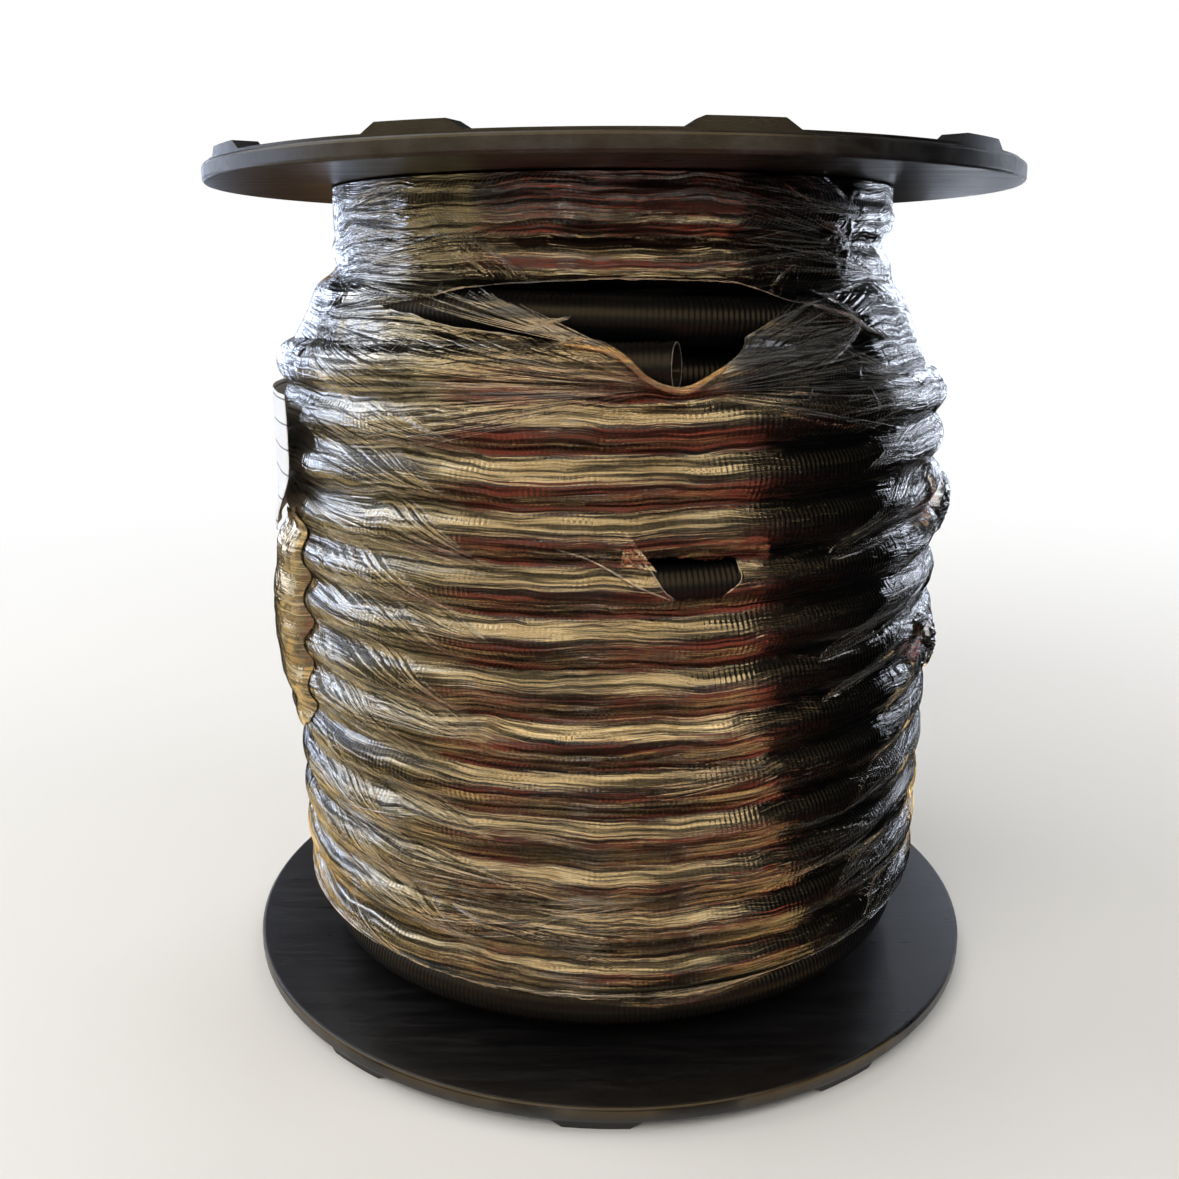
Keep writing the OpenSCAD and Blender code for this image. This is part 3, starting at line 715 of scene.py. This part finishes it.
# Crumpled places: angle, height, half width round the reel, half height, depth of the crumples.
CRUMPLES = [(-142, 259, 26, 9, 1.4), (-46, 287, 17, 12, 1.6), (-68, 192, 11, 6, 1.3), (-90, 193, 7, 7, 1.2),
    (-168, 150, 16, 22, 1.3), (-24, 232, 20, 16, 0.9), (-18, 150, 30, 60, 0.5), (-150, 110, 24, 80, 0.45),
    (-98, 33, 90, 5, 1.3), (60, 250, 30, 12, 1.6), (150, 262, 30, 10, 1.8)]
# Loose places that stand off the turns: angle, height, half width, half height, stand-off.
POCKETS = [(-176, 150, 38, 42, 3.5), (-8, 197, 16, 12, 2.2), (-5, 112, 22, 40, 1.4)]


def around_point(deg, height, centre_deg, centre_height):
    """Distances from a point on the film, round the reel and up it."""
    return (np.mod(deg - centre_deg + 180, 360) - 180) * np.pi / 180 * FILM_R, height - centre_height


def mound(deg, height, centre_deg, centre_height, wide, tall):
    """1 at a point on the film, falling by a smoothstep to 0 on an ellipse round it."""
    du, dz = around_point(deg, height, centre_deg, centre_height)
    return 1 - smooth_step(np.hypot(du / wide, dz / tall))


def fan_polar(fan, deg, height):
    """Distance from a fan's point in millimetres, direction in degrees, and the fan's share,
    which fades in over 12 mm, out towards its reach, and over 5 degrees at its two sides."""
    at_deg, at_height, side, low, high, reach = fan[:6]
    du, dz = around_point(deg, height, at_deg, at_height)
    away = np.hypot(du, dz)
    direction = np.degrees(np.arctan2(dz, side * du))
    inside = smooth_step((direction - low) / 5) * smooth_step((high - direction) / 5)
    fade = smooth_step(away / 12) * (1 - smooth_step((away - 0.35 * reach) / (0.65 * reach)))
    return away, direction, inside * fade


def fan_lay(deg, height):
    """How the strongest fan combs the film at each point: distance and direction in streak
    lengths and spacings, and the share by which it outweighs the next fan."""
    strongest, runner_up = np.zeros((2,) + np.shape(deg))
    along, across = np.zeros((2,) + np.shape(deg))
    for number, fan in enumerate(FANS):
        away, direction, share = fan_polar(fan, deg, height)
        wins = share > strongest
        runner_up = np.where(wins, strongest, np.maximum(runner_up, share))
        strongest = np.where(wins, share, strongest)
        along = np.where(wins, away, along)
        across = np.where(wins, direction / STREAK_DEG + 50 * number, across)
    lead = np.clip(2 * (strongest - runner_up), 0, 1) * np.minimum(1, along / STREAK_FULL_MM)
    return np.stack([along / STREAK_MM, across, lead], -1)


def film_surface(deg, height):
    """Radius of the film with its creases. Streaks 2 and 4.5 mm apart run round the reel along
    heights bent by slow random fields; fans are streaks in polar coordinates round their point;
    crumples are ridges of a field with no direction; pockets are smooth bulges."""
    u = np.mod(deg + 180, 360) / 360
    slow, quick = patches(u * 12, height / 24, 12, 1), patches(u * 44, height / 9, 44, 2)
    bent = height + 3 * (slow - 0.5) + (quick - 0.5)
    strong = smooth_step((patches(u * 16, height / 20, 16, 3) - 0.5) / 0.3)
    relief = 0.07 * ridges(patches(u * 12, bent / 2.0, 12, 4), 1.5)
    relief = relief + (0.04 + 0.16 * strong) * ridges(patches(u * 9, bent / 4.5, 9, 5), 3)
    for number, fan in enumerate(FANS):
        away, direction, share = fan_polar(fan, deg, height)
        if not share.any():
            continue
        folds = ridges(patches(away / 70, direction / FAN_CELL_DEG + 300, 8, 100 + number), 2)
        relief = relief + fan[6] * np.minimum(1, away / FAN_FULL_FOLD) * folds * share
    for number, (*spot, deep) in enumerate(CRUMPLES):
        coarse = ridges(patches(u * 140, height / 5.5, 140, 200 + number), 2)
        fine = ridges(patches(u * 360, height / 2.3, 360, 300 + number), 2)
        relief = relief + deep * mound(deg, height, *spot) * (coarse + 0.45 * fine)
    for *spot, stand in POCKETS:
        relief = relief + stand * mound(deg, height, *spot) ** 0.8
    return film_at(deg, height) + relief


def film_points(deg, height, lift):
    """Points of the film at angles and heights, lifted off it by so much."""
    return reel_points(film_surface(deg, height) + lift, deg, height)


def round_curve(points, deg):
    """Height at each angle of a line round the reel, straight between its points."""
    angles, heights = zip(*points)
    return np.interp(deg, angles, heights, period=360)


# The film's low edge, the opening's two edges, and the line where the wraps overlap, as
# angles and heights.
LOW_EDGE = [(-180, 33), (-141, 34), (-131, 31.5), (-120, 31), (-101, 31), (-92, 29.6), (-83, 28), (-73, 29),
    (-63, 33), (-52, 35), (-42, 39), (-30, 33), (0, 26), (40, 29), (75, 25), (110, 27), (150, 28)]
OVERLAP = [(-180, 139), (-90, 134), (0, 141), (90, 146)]
BODY_TOP = [(-180, 272), (-135, 269), (-129.3, 266), (-123.1, 264.1), (-117.8, 261.6), (-110.1, 259.9),
    (-103.6, 258.4), (-98, 257.2), (-95.5, 256.5), (-92.5, 256.6), (-89.5, 253.7), (-86.5, 246.9),
    (-83.5, 243.5), (-80.9, 242.6), (-79.7, 244.4), (-77.8, 246.9), (-75.1, 249.9), (-73.5, 253.1),
    (-71.1, 256.7), (-66.3, 262.1), (-59.8, 266.8), (-52, 270), (0, 270), (90, 273)]
NECK_FOOT = [(-180, 268), (-135, 266), (-121, 270), (-117, 272.5), (-106, 274.5), (-90, 275.5),
    (-70, 274.5), (-60, 268), (-52, 267), (0, 266), (90, 269)]
# the film's columns, finer at the front, where the tear is
FRONT_COLUMN_DEG = 0.55
BACK_COLUMN_DEG = 1.3
film_deg = np.concatenate([np.arange(-176, -4, FRONT_COLUMN_DEG), np.arange(-4, 184, BACK_COLUMN_DEG)])
HALF_COLUMN_DEG = 0.27
# a small hole below the tear, as angles and heights of its outline
HOLE = [(-86.6, 191.4), (-85.0, 186.4), (-83.6, 181), (-81.9, 178.3), (-75.4, 178.5), (-72.1, 183.8),
    (-72.8, 190.6), (-77, 190.2), (-82.5, 191.6)]


def inside_outline(x, y, outline):
    """Which points lie inside a closed outline: an odd number of its sides cross the ray
    that runs to the right of the point."""
    odd = np.zeros(np.shape(x), bool)
    for (x0, y0), (x1, y1) in zip(outline, outline[1:] + outline[:1]):
        spans = (y0 > y) != (y1 > y)
        odd ^= spans & (x < x0 + (y - y0) / (y1 - y0 + 1e-12) * (x1 - x0))
    return odd


def stretch_film(node, place, wraps, haze, creased, tint="#f4f4f2"):
    """Clear polyethylene film, and how it lies: so many wraps, each with two glossy faces of
    IOR 1.51 that reflect together, F' = n F / (1 + (n - 1) F), where n varies in streaks; a
    milky haze where it is stretched; creases drawn 0.8 mm apart, coarser than the real ones,
    and folds 2.4 mm apart; streaks combed by the fans, whitened by a haze that is partly a
    painted highlight for their glints; crumples 9 mm and crackle 3.4 mm across that grow
    towards the reel's sides; and the ribs pressed through it."""
    lay = node("Attribute", attribute_name="fan_lay").outputs["Vector"]
    lay_share = node("SeparateXYZ", lay).outputs["Z"]
    lay_place = node("Mapping", Vector=lay, Scale=(1, 1, 0))
    lay_weight = node("Math", lay_share, 3.2, operation="MULTIPLY")
    slow = node("TexNoise", Vector=place, Scale=1000 / 34, Detail=2.0)
    sway = node("MapRange", slow, 0, 1, -0.004, 0.004)
    bent = node("VectorMath", place, node("CombineXYZ", 0, 0, sway), operation="ADD")
    fine_place = node("Mapping", Vector=bent, Scale=(1000 / 50, 1000 / 50, 1000 / 0.8))
    fine = node("TexNoise", Vector=fine_place, Scale=1.0, Detail=2.0)
    fine_weight = node("MapRange", slow, 0.4, 0.6, 1.5, 0.6)
    fold_place = node("Mapping", Vector=bent, Scale=(1000 / 80, 1000 / 80, 1000 / 2.4))
    folds = node("TexNoise", Vector=fold_place, Scale=1.0, Detail=1.0)
    axes = node("SeparateXYZ", place).outputs
    aside = node("Math", axes["X"], operation="ABSOLUTE")
    looser = node("MapRange", aside, 0.08, 0.12, 0.15, 3.2)
    crackled = node("MapRange", aside, 0.09, 0.12, 0, 0.7)
    combed = node("TexNoise", Vector=lay_place, Scale=1.0, Detail=1.5)
    crumples = node("TexNoise", Vector=place, Scale=1000 / 9, Detail=1.0, Distortion=0.8)
    crackle = node("TexNoise", Vector=place, Scale=1000 / 3.4, Detail=1.0, Distortion=0.5)
    # the ribs show where the film is pressed on the outer layer, below the shoulder
    angle = node("Math", axes["Y"], axes["X"], operation="ARCTAN2")
    ribs_round = float(round(2 * math.pi * OUTER_R / RIB_PITCH))
    ribs = node("Math", node("Math", angle, ribs_round, operation="MULTIPLY"), operation="SINE")
    pressed = node("MapRange", slow, 0.44, 0.62, 0.01, 0.07)
    on_ribs = node("MapRange", axes["Z"], 0.242, 0.234)
    pressed = node("Math", pressed, on_ribs, operation="MULTIPLY")
    ribs = node("Math", ribs, pressed, operation="MULTIPLY")
    # each field folds the film sharply where it passes its middle value
    relief = ribs
    fields = [(fine, fine_weight), (folds, 1.5), (combed, lay_weight)]
    for field, weight in fields + [(crumples, looser), (crackle, crackled)]:
        off = node("Math", node("Math", field, 0.5, operation="SUBTRACT"), operation="ABSOLUTE")
        relief = node("Math", off, weight, relief, operation="MULTIPLY_ADD")
    # a whitish haze along the combed streaks: partly real creasing, partly a painted highlight for the
    # glints on their ridges
    haze_and_glint_streaks = node("MapRange", combed, 0.6, 0.75, 0, 0.08)
    haze_and_glint_streaks = node("Math", haze_and_glint_streaks, lay_share, operation="MULTIPLY")
    bump = node("Bump", Height=relief, Strength=creased, Distance=0.0006)
    # where wraps cling there is no air between them and they reflect as one, and where they are
    # loose, small folds bring up to 3.8 faces a wrap: streaks 1.3 mm wide
    cling_place = node("Mapping", Vector=bent, Scale=(1000 / 60, 1000 / 60, 1000 / 1.3),
        Location=(3.0, 7.0, 5.0))
    cling = node("TexNoise", Vector=cling_place, Scale=1.0, Detail=3.0, Roughness=0.6)
    combed_off = node("Math", combed, 0.5, operation="SUBTRACT")
    clung = node("Math", combed_off, lay_share, cling, operation="MULTIPLY_ADD")
    faces = node("MapRange", clung, 0.44, 0.57, 1.0, 3.8 * wraps)
    one_face = node("Fresnel", IOR=1.51, Normal=bump)
    upper = node("Math", one_face, faces, operation="MULTIPLY")
    other = node("Math", faces, 1.0, operation="SUBTRACT")
    lower = node("Math", one_face, other, 1.0, operation="MULTIPLY_ADD")
    shine = node("Math", upper, lower, operation="DIVIDE")
    milky = node("MapRange", fine, 0.45, 0.75, haze * 0.4, haze * 2.0)
    milky = node("Math", milky, haze_and_glint_streaks, operation="ADD")
    cover = node("Math", shine, milky, operation="ADD", use_clamp=True)
    mirror = node("Math", shine, cover, operation="DIVIDE")
    gloss = node("MapRange", folds, 0.3, 0.7, 0.025, 0.07)
    return node("BsdfPrincipled", Base_Color=srgb(tint), Metallic=mirror, Roughness=gloss, Alpha=cover,
        Normal=bump)


clear_film = material_of("clear_stretch_film", stretch_film, 3, 0.002, 0.75)
gathered_film = material_of("gathered_stretch_film", stretch_film, 8, 0.12, 0.4)
# the flap's film has an amber tint that paints in the warm surroundings it reflects and shows through: a
# painted reflection
amber_film = material_of("amber_painted_reflection_film", stretch_film, 2, 0.30, 0.3, "#ead2a4")
rolled_film = material_of("rolled_stretch_film", stretch_film, 5, 0.12, 0.5, "#f2dcba")


def film_wrap(name, low, high, rows, lift, node, hole=None):
    """A band of film all round the reel between two lines, its rows spaced evenly between
    them at each angle. Faces inside the hole are left out."""
    share = np.linspace(0, 1, rows)[:, None]
    low, high = round_curve(low, film_deg), round_curve(high, film_deg)
    height = low + (high - low) * share
    deg = np.broadcast_to(film_deg, height.shape)
    quads = grid_quads(rows, len(film_deg), wrap_columns=True)
    if hole:
        middle_deg = np.mod(deg.ravel()[quads[:, 0]] + 180, 360) - 180 + HALF_COLUMN_DEG
        quads = quads[~inside_outline(middle_deg, height.ravel()[quads].mean(1), hole)]
    wrap = mesh_object(name, film_points(deg, height, lift), quads, clear_film)
    lay = wrap.data.attributes.new("fan_lay", "FLOAT_VECTOR", "POINT")
    lay.data.foreach_set("vector", fan_lay(deg, height).ravel())
    finish_piece(wrap, "stretch_film", node)


film_wrap("film_lower_wrap", LOW_EDGE, [(a, h + 3) for a, h in OVERLAP], 165, 0.0, "film_body")
film_wrap("film_upper_wrap", [(a, h - 3) for a, h in OVERLAP], BODY_TOP, 190, 0.15, "film_body", HOLE)
film_wrap("film_neck_wrap", NECK_FOOT, [(0, TOP_Z - 0.8)], 62, 0.1, "film_neck")


def strands(name, lines, radii, sides, node, material=gathered_film):
    """Thin round strands as one mesh: each line of points, an array (strands, points, 3), is
    the middle of a tube whose radius, an array (strands, points), tapers to its ends."""
    heading = unit(np.gradient(lines, axis=1), 1e-9)
    side = unit(np.cross(heading, (0, 0, 1.0)), 1e-9)
    up = np.cross(side, heading)
    a = np.arange(sides) * 2 * np.pi / sides
    out = np.cos(a)[:, None] * side[:, :, None] + np.sin(a)[:, None] * up[:, :, None]
    points = lines[:, :, None] + radii[:, :, None, None] * out
    count, length = lines.shape[:2]
    one = grid_quads(length, sides, wrap_columns=True)[:, ::-1]
    quads = (one[None] + (np.arange(count) * length * sides)[:, None, None]).reshape(-1, 4)
    finish_piece(mesh_object(name, points, quads, material), "stretch_film", node)


def fan_creases(fans, per_fan, seed):
    """Creases that run out of each fan's point: straight rays at random directions within the
    fan, each starting and ending at random distances, and sagging a little between."""
    draw = np.random.default_rng(seed)
    step = np.linspace(0, 1, 22)
    deg, height, thick = [], [], []
    for at_deg, at_height, side, low, high, reach, _ in fans:
        direction = np.radians(draw.uniform(low, high, per_fan))[:, None]
        start = draw.uniform(2, 0.3 * reach, per_fan)[:, None]
        length = draw.uniform(0.25, 0.75, per_fan)[:, None] * reach
        away = start + length * step
        bow = draw.normal(0, 0.6, per_fan)[:, None] * np.sin(np.pi * step)
        deg.append(at_deg + side * np.degrees(away * np.cos(direction) / FILM_R))
        height.append(at_height + away * np.sin(direction) + bow)
        thick.append(draw.uniform(0.05, 0.16, per_fan)[:, None] * np.sin(np.pi * step) ** 0.7 + 0.02)
    return np.concatenate(deg), np.concatenate(height), np.concatenate(thick)


def crease_strands(name, fans, per_fan, seed, node, floor_line, ceiling):
    """Strands along fan creases, laid on the film, without those that leave its band."""
    deg, height, thick = fan_creases(fans, per_fan, seed)
    wrapped = np.mod(deg + 180, 360) - 180
    kept = height > round_curve(floor_line, wrapped) + 2
    kept = (kept & (height < round_curve(ceiling, wrapped) - 0.3)).all(1)
    strands(name, film_points(deg, height, 0.1)[kept], thick[kept], 4, node)


NECK_TOP = [(0, TOP_Z - 1)]
crease_strands("film_tear_creases", FANS[:TEAR_FANS], 90, 7, "film_body", LOW_EDGE, BODY_TOP)
crease_strands("film_body_creases", FANS[TEAR_FANS:-SIDE_FANS], 8, 8, "film_body", LOW_EDGE, BODY_TOP)
crease_strands("film_side_creases", FANS[-SIDE_FANS:], 13, 10, "film_body", LOW_EDGE, BODY_TOP)
crease_strands("film_neck_creases", FANS, 26, 9, "film_neck", NECK_FOOT, NECK_TOP)


ROPE_STEP = 1.2
ROPE_TAPER = 4.0


def rolled_edge(name, node, line, strand_count, strand_r, roll_r, lay, lift, material=gathered_film):
    """A torn edge rolled up into a rope: strands that wind round the edge's line, each at the
    rope's radius, one turn in each lay length, tapering at the rope's ends. line is angles and
    heights; random fields let the rope wander and swell."""
    corner_deg, corner_height = (np.array(v, float) for v in zip(*line))
    sides = np.hypot(np.radians(np.diff(corner_deg)) * FILM_R, np.diff(corner_height))
    length = np.concatenate([[0], np.cumsum(sides)])
    s = np.linspace(0, length[-1], int(length[-1] / ROPE_STEP) + 2)
    wander = 0.5 * (patches(s / 7, s * 0, 400, strand_count + 31) - 0.5)
    deg, height = np.interp(s, length, corner_deg), np.interp(s, length, corner_height) + wander
    blend = np.ones(5) / 5
    deg = np.convolve(np.pad(deg, 2, mode="edge"), blend, "valid")
    height = np.convolve(np.pad(height, 2, mode="edge"), blend, "valid")
    swell = 0.6 + 0.8 * patches(s / 11, s * 0, 400, strand_count + 57)
    ends = np.minimum(1, np.minimum(s, s[-1] - s) / ROPE_TAPER) * 0.85 + 0.15
    phase = 2 * np.pi * (s / lay + np.arange(strand_count)[:, None] / strand_count)
    middle_deg = deg + 0 * phase
    middle_height = height + roll_r * swell * np.cos(phase)
    points = film_points(middle_deg, middle_height, lift)
    points = points + (roll_r * swell * np.sin(phase))[..., None] * reel_points(1, middle_deg, 0 * phase)
    strands(name, points, (strand_r * swell * ends) + 0 * phase, 6, node, material)


# drawn down to the pinch the film is rolled into a smooth rope, and its edges beyond are thin
TEAR_ROPE = [(-98.5, 257.3), (-95.5, 256.9), (-92.5, 256.4), (-89.5, 253.3), (-86.5, 246.9), (-83.5, 243.6),
    (-81.2, 242.6), (-79.7, 244.3), (-77.8, 246.9), (-75.1, 250.4)]
rolled_edge("film_tear_rope", "film_body", TEAR_ROPE, 8, 0.40, 0.8, 60, 1.2, rolled_film)
TEAR_LEFT = [p for p in BODY_TOP if -131 < p[0] < -98]
rolled_edge("film_tear_left_edge", "film_body", TEAR_LEFT, 2, 0.2, 0.2, 26, 0.4)
TEAR_RIGHT = [p for p in BODY_TOP if -76 <= p[0] < -49]
rolled_edge("film_tear_right_edge", "film_body", TEAR_RIGHT, 2, 0.22, 0.22, 30, 0.5)
TEAR_UPPER = [p for p in NECK_FOOT if -122 < p[0] < -50]
rolled_edge("film_tear_upper_edge", "film_neck", TEAR_UPPER, 2, 0.14, 0.16, 19, 0.2)
SHOULDER_ROPE = [(-57.6, 267.6), (-49.8, 264.2), (-44.8, 259.3), (-38, 256)]
rolled_edge("film_shoulder_rope", "film_body", SHOULDER_ROPE, 3, 0.45, 0.45, 14, 1.2)
rolled_edge("film_hole_edge", "film_body", HOLE[:4], 3, 0.2, 0.25, 9, 0.4)
rolled_edge("film_hole_right_edge", "film_body", HOLE[4:7], 2, 0.12, 0.14, 9, 0.2)
HOLE_THREAD = [(-98.5, 195.2), (-94.5, 191.8), (-90, 186.5), (-85.5, 181.2), (-82.2, 178.2)]
rolled_edge("film_hole_thread", "film_body", HOLE_THREAD, 3, 0.16, 0.2, 40, 0.9)


def free_strips(name, node, seed, starts, ends, per_end, jitter, radii, lifts):
    """Film torn into narrow strips that stand free: each runs straight from a random place on
    the line of starts to a point near its end, bowed and lifted by half sine waves."""
    draw = np.random.default_rng(seed)
    step = np.linspace(0, 1, 24)
    count = per_end * len(ends)
    start_deg, start_height = zip(*starts)
    pick = draw.uniform(0, len(starts) - 1, count)
    from_deg, from_height = (np.interp(pick, range(len(starts)), v)[:, None]
        for v in (start_deg, start_height))
    to = np.repeat(np.array(ends, float), per_end, 0) + draw.normal(0, jitter, (count, 2))
    arch = np.sin(np.pi * step)
    deg = from_deg + (to[:, :1] - from_deg) * step
    height = from_height + (to[:, 1:] - from_height) * step + draw.uniform(-0.6, 1.2, count)[:, None] * arch
    radius = film_at(deg, height) + 0.6 + draw.uniform(*lifts, count)[:, None] * (0.3 + 0.7 * arch)
    thick = draw.uniform(*radii, count)[:, None] * (0.35 + 0.65 * np.minimum(1, 4 * (1 - step)))
    strands(name, reel_points(radius, deg, height), thick, 5, node)


STRIP_STARTS = [(-98, 257.2), (-95.5, 256.9), (-92.5, 256.5), (-90, 254.2)]
STRIP_ENDS = [(-120.9, 268.0), (-119.2, 270.2), (-117.4, 270.8), (-114.5, 270.9), (-112.4, 271.2),
    (-110.3, 271.0), (-108.2, 269.1), (-105.6, 266.6), (-103.6, 265), (-101.9, 263.7)]
free_strips("film_tear_strips", "film_body", 51, STRIP_STARTS, STRIP_ENDS, 6, (0.9, 0.7), (0.06, 0.22),
    (0.4, 3.4))
WISP_STARTS = [(-104.5, 261.0), (-103.5, 259.6)]
free_strips("film_tear_wisp", "film_body", 52, WISP_STARTS, [(-97.3, 264.0)], 9, (0.35, 0.3), (0.08, 0.2),
    (1.5, 3.0))
GREY_STARTS = [(-78, 246.6), (-74, 252.6)]
GREY_ENDS = [(-58, 268.6), (-56, 264.5), (-55, 261), (-54, 257), (-52, 254)]
free_strips("film_tear_grey_lines", "film_body", 53, GREY_STARTS, GREY_ENDS, 12, (1.0, 0.6), (0.05, 0.16),
    (0.0, 0.8))


def crumpled(coarse, fine, seed):
    """Ridges of two random fields at the places (u, v) given, the finer ones 0.6 as high."""
    high, low = (ridges(patches(*at, 64, seed + k), 2) for k, at in enumerate((coarse, fine)))
    return high + 0.6 * low


FLAP_LIFT = 0.8


def loose_sheet(name, degs, heights, stand, crumple, seed, material=clear_film, shape=(30, 24)):
    """A loose flap of film over a patch of angles and heights: it stands off the bare turns by
    a half ellipse across and a half sine up, and is crumpled to the height given. Its sides
    wander by up to a tenth of its width."""
    v, u = np.meshgrid(np.linspace(0, 1, shape[0]), np.linspace(0, 1, shape[1]), indexing="ij")
    ragged = 0.2 * (patches(v * 6 + 1, u * 0 + seed, 64, seed) - 0.5)
    deg = degs[0] + (degs[1] - degs[0]) * (u * (1 + ragged) + 0.1)
    wander = 0.12 * (patches(u * 5 + 2, v * 0, 64, seed + 1) - 0.5)
    height = heights[0] + (heights[1] - heights[0]) * (v + wander)
    bulge = np.sqrt(np.clip(4 * u * (1 - u), 0, 1)) * np.sin(np.pi * v) ** 0.7
    wrinkle = crumpled((u * 7 + 1, v * 22 + u * 6), (u * 16 + 1, v * 40), seed + 2)
    base = FILM_R + (film_at(deg, height) - FILM_R) * (1 - bulge)
    radius = base + FLAP_LIFT + stand * bulge + crumple * wrinkle * (0.3 + bulge)
    sheet = mesh_object(name, reel_points(radius, deg, height), grid_quads(*shape), material)
    finish_piece(sheet, "stretch_film", "film_body")


loose_sheet("film_left_flap", (-180, -154), (106, 190), 6.6, 0.35, 61, amber_film, (72, 48))
loose_sheet("film_right_flap_high", (-30, -20), (184, 210), 4.0, 0.9, 62)
loose_sheet("film_right_flap_low", (-32, -22), (132, 154), 3.5, 0.9, 63)

# a torn corner stands up at the hole: rows run from its tip to the opposite side, it rises
# towards its last corner, and it is crumpled
FLAP_CORNERS = [(-88.9, 200.8), (-89.6, 189.2), (-84.6, 187.6)]
FLAP_STAND = 1.4
FLAP_CRUMPLE = 0.9
FLAP_SHAPE = (30, 26)
v, u = np.meshgrid(np.linspace(0.02, 1, FLAP_SHAPE[0]), np.linspace(0, 1, FLAP_SHAPE[1]), indexing="ij")
tip, near, far = (np.array(corner, float) for corner in FLAP_CORNERS)
flap_spot = tip + v[..., None] * (near + (far - near) * u[..., None] - tip)
flap_deg, flap_height = flap_spot[..., 0], flap_spot[..., 1]
flap_rise = FLAP_STAND * u + FLAP_CRUMPLE * crumpled((u * 5 + 1, v * 7), (u * 11 + 1, v * 15), 64)
flap_radius = film_at(flap_deg, flap_height) + 0.7 + flap_rise * v
flap = mesh_object("film_hole_flap", reel_points(flap_radius, flap_deg, flap_height),
    grid_quads(*FLAP_SHAPE), clear_film)
finish_piece(flap, "stretch_film", "film_body")

# the low edge is left ragged: short strands lie along it and above it
EDGE_STRANDS = 150
edge_draw = np.random.default_rng(71)
edge_step = np.linspace(0, 1, 20)
edge_from = edge_draw.uniform(-180, 180, EDGE_STRANDS)[:, None]
edge_deg = edge_from + edge_draw.uniform(5, 26, EDGE_STRANDS)[:, None] * edge_step
edge_deg = np.mod(edge_deg + 180, 360) - 180
edge_above = edge_draw.uniform(0.2, 7, EDGE_STRANDS)[:, None]
edge_slope = edge_draw.normal(0, 1.6, EDGE_STRANDS)[:, None] * (edge_step - 0.5)
edge_wave = patches(edge_step * 3 + edge_from + 180, 0 * edge_from + 0 * edge_step, 400, 72) - 0.5
edge_above = edge_above + edge_slope + 1.6 * edge_wave
edge_height = round_curve(LOW_EDGE, edge_deg) + np.maximum(0.1, edge_above)
edge_thick = edge_draw.uniform(0.06, 0.26, EDGE_STRANDS)[:, None] * np.sin(np.pi * edge_step) ** 0.5 + 0.02
strands("film_low_strands", film_points(edge_deg, edge_height, 0.2), edge_thick, 5, "film_body")

# ---- Label -----------------------------------------------------------------------
# A plain white paper label with ruled lines, stuck on the film at the left. Its front edge
# has come away, and the lower corner curls outwards.

LABEL_MIDDLE_DEG = -168.0
LABEL_WIDTH = 84.0
LABEL_HEIGHT = 50.0
LABEL_Z = 211.0
LABEL_R = FILM_R + 1.2
LABEL_SHAPE = (41, 61)
LABEL_CORNER_CURL = 3.4
LABEL_EDGE_CURL = 0.8
PAPER = 0.00025


def coated_paper(node, place):
    """Coated white paper: faint mottle 2 mm across, and grey ruled lines 9 mm apart."""
    mottle = node("TexNoise", Vector=place, Scale=1000 / 2, Detail=3.0)
    paper = node("Mix", mottle, srgb("#dcdee3"), srgb("#eceef1"), data_type="RGBA")
    row = node("Math", node("SeparateXYZ", place).outputs["Z"], 1000 / 9, operation="MULTIPLY")
    line = node("Math", node("Math", row, operation="FRACT"), 0.07, operation="LESS_THAN")
    colour = node("Mix", line, paper, srgb("#6d7078"), data_type="RGBA")
    bump = node("Bump", Height=mottle, Strength=0.15, Distance=0.0002)
    return node("BsdfPrincipled", Base_Color=colour, Roughness=0.48, IOR=1.5, Normal=bump)


across, upward = np.meshgrid(np.linspace(-1, 1, LABEL_SHAPE[1]), np.linspace(-1, 1, LABEL_SHAPE[0]))
# the front lower corner is drawn in, and towards the front edge the paper stands free
drawn_in = 0.12 * smooth_step((-upward - 0.1) / 0.9) * (across + 1)
label_deg = LABEL_MIDDLE_DEG + (across - drawn_in) * np.degrees(LABEL_WIDTH / 2 / LABEL_R)
free = smooth_step((across - 0.35) / 0.65)
curl = LABEL_CORNER_CURL * free * smooth_step((-upward + 0.1) / 1.1) + LABEL_EDGE_CURL * free
dimples = 0.7 * (patches(across * 2.4 + 3, upward * 1.8 + 3, 64, 71) - 0.5)
label_points = reel_points(LABEL_R + 1.5 + curl + dimples, label_deg, LABEL_Z + upward * LABEL_HEIGHT / 2)
label = mesh_object("side_label_paper", label_points, grid_quads(*LABEL_SHAPE),
    material_of("coated_white_paper", coated_paper))
thickness = label.modifiers.new("paper_thickness", "SOLIDIFY")
thickness.thickness = PAPER
thickness.offset = 0.0
finish_piece(label, "label_paper", "side_label")
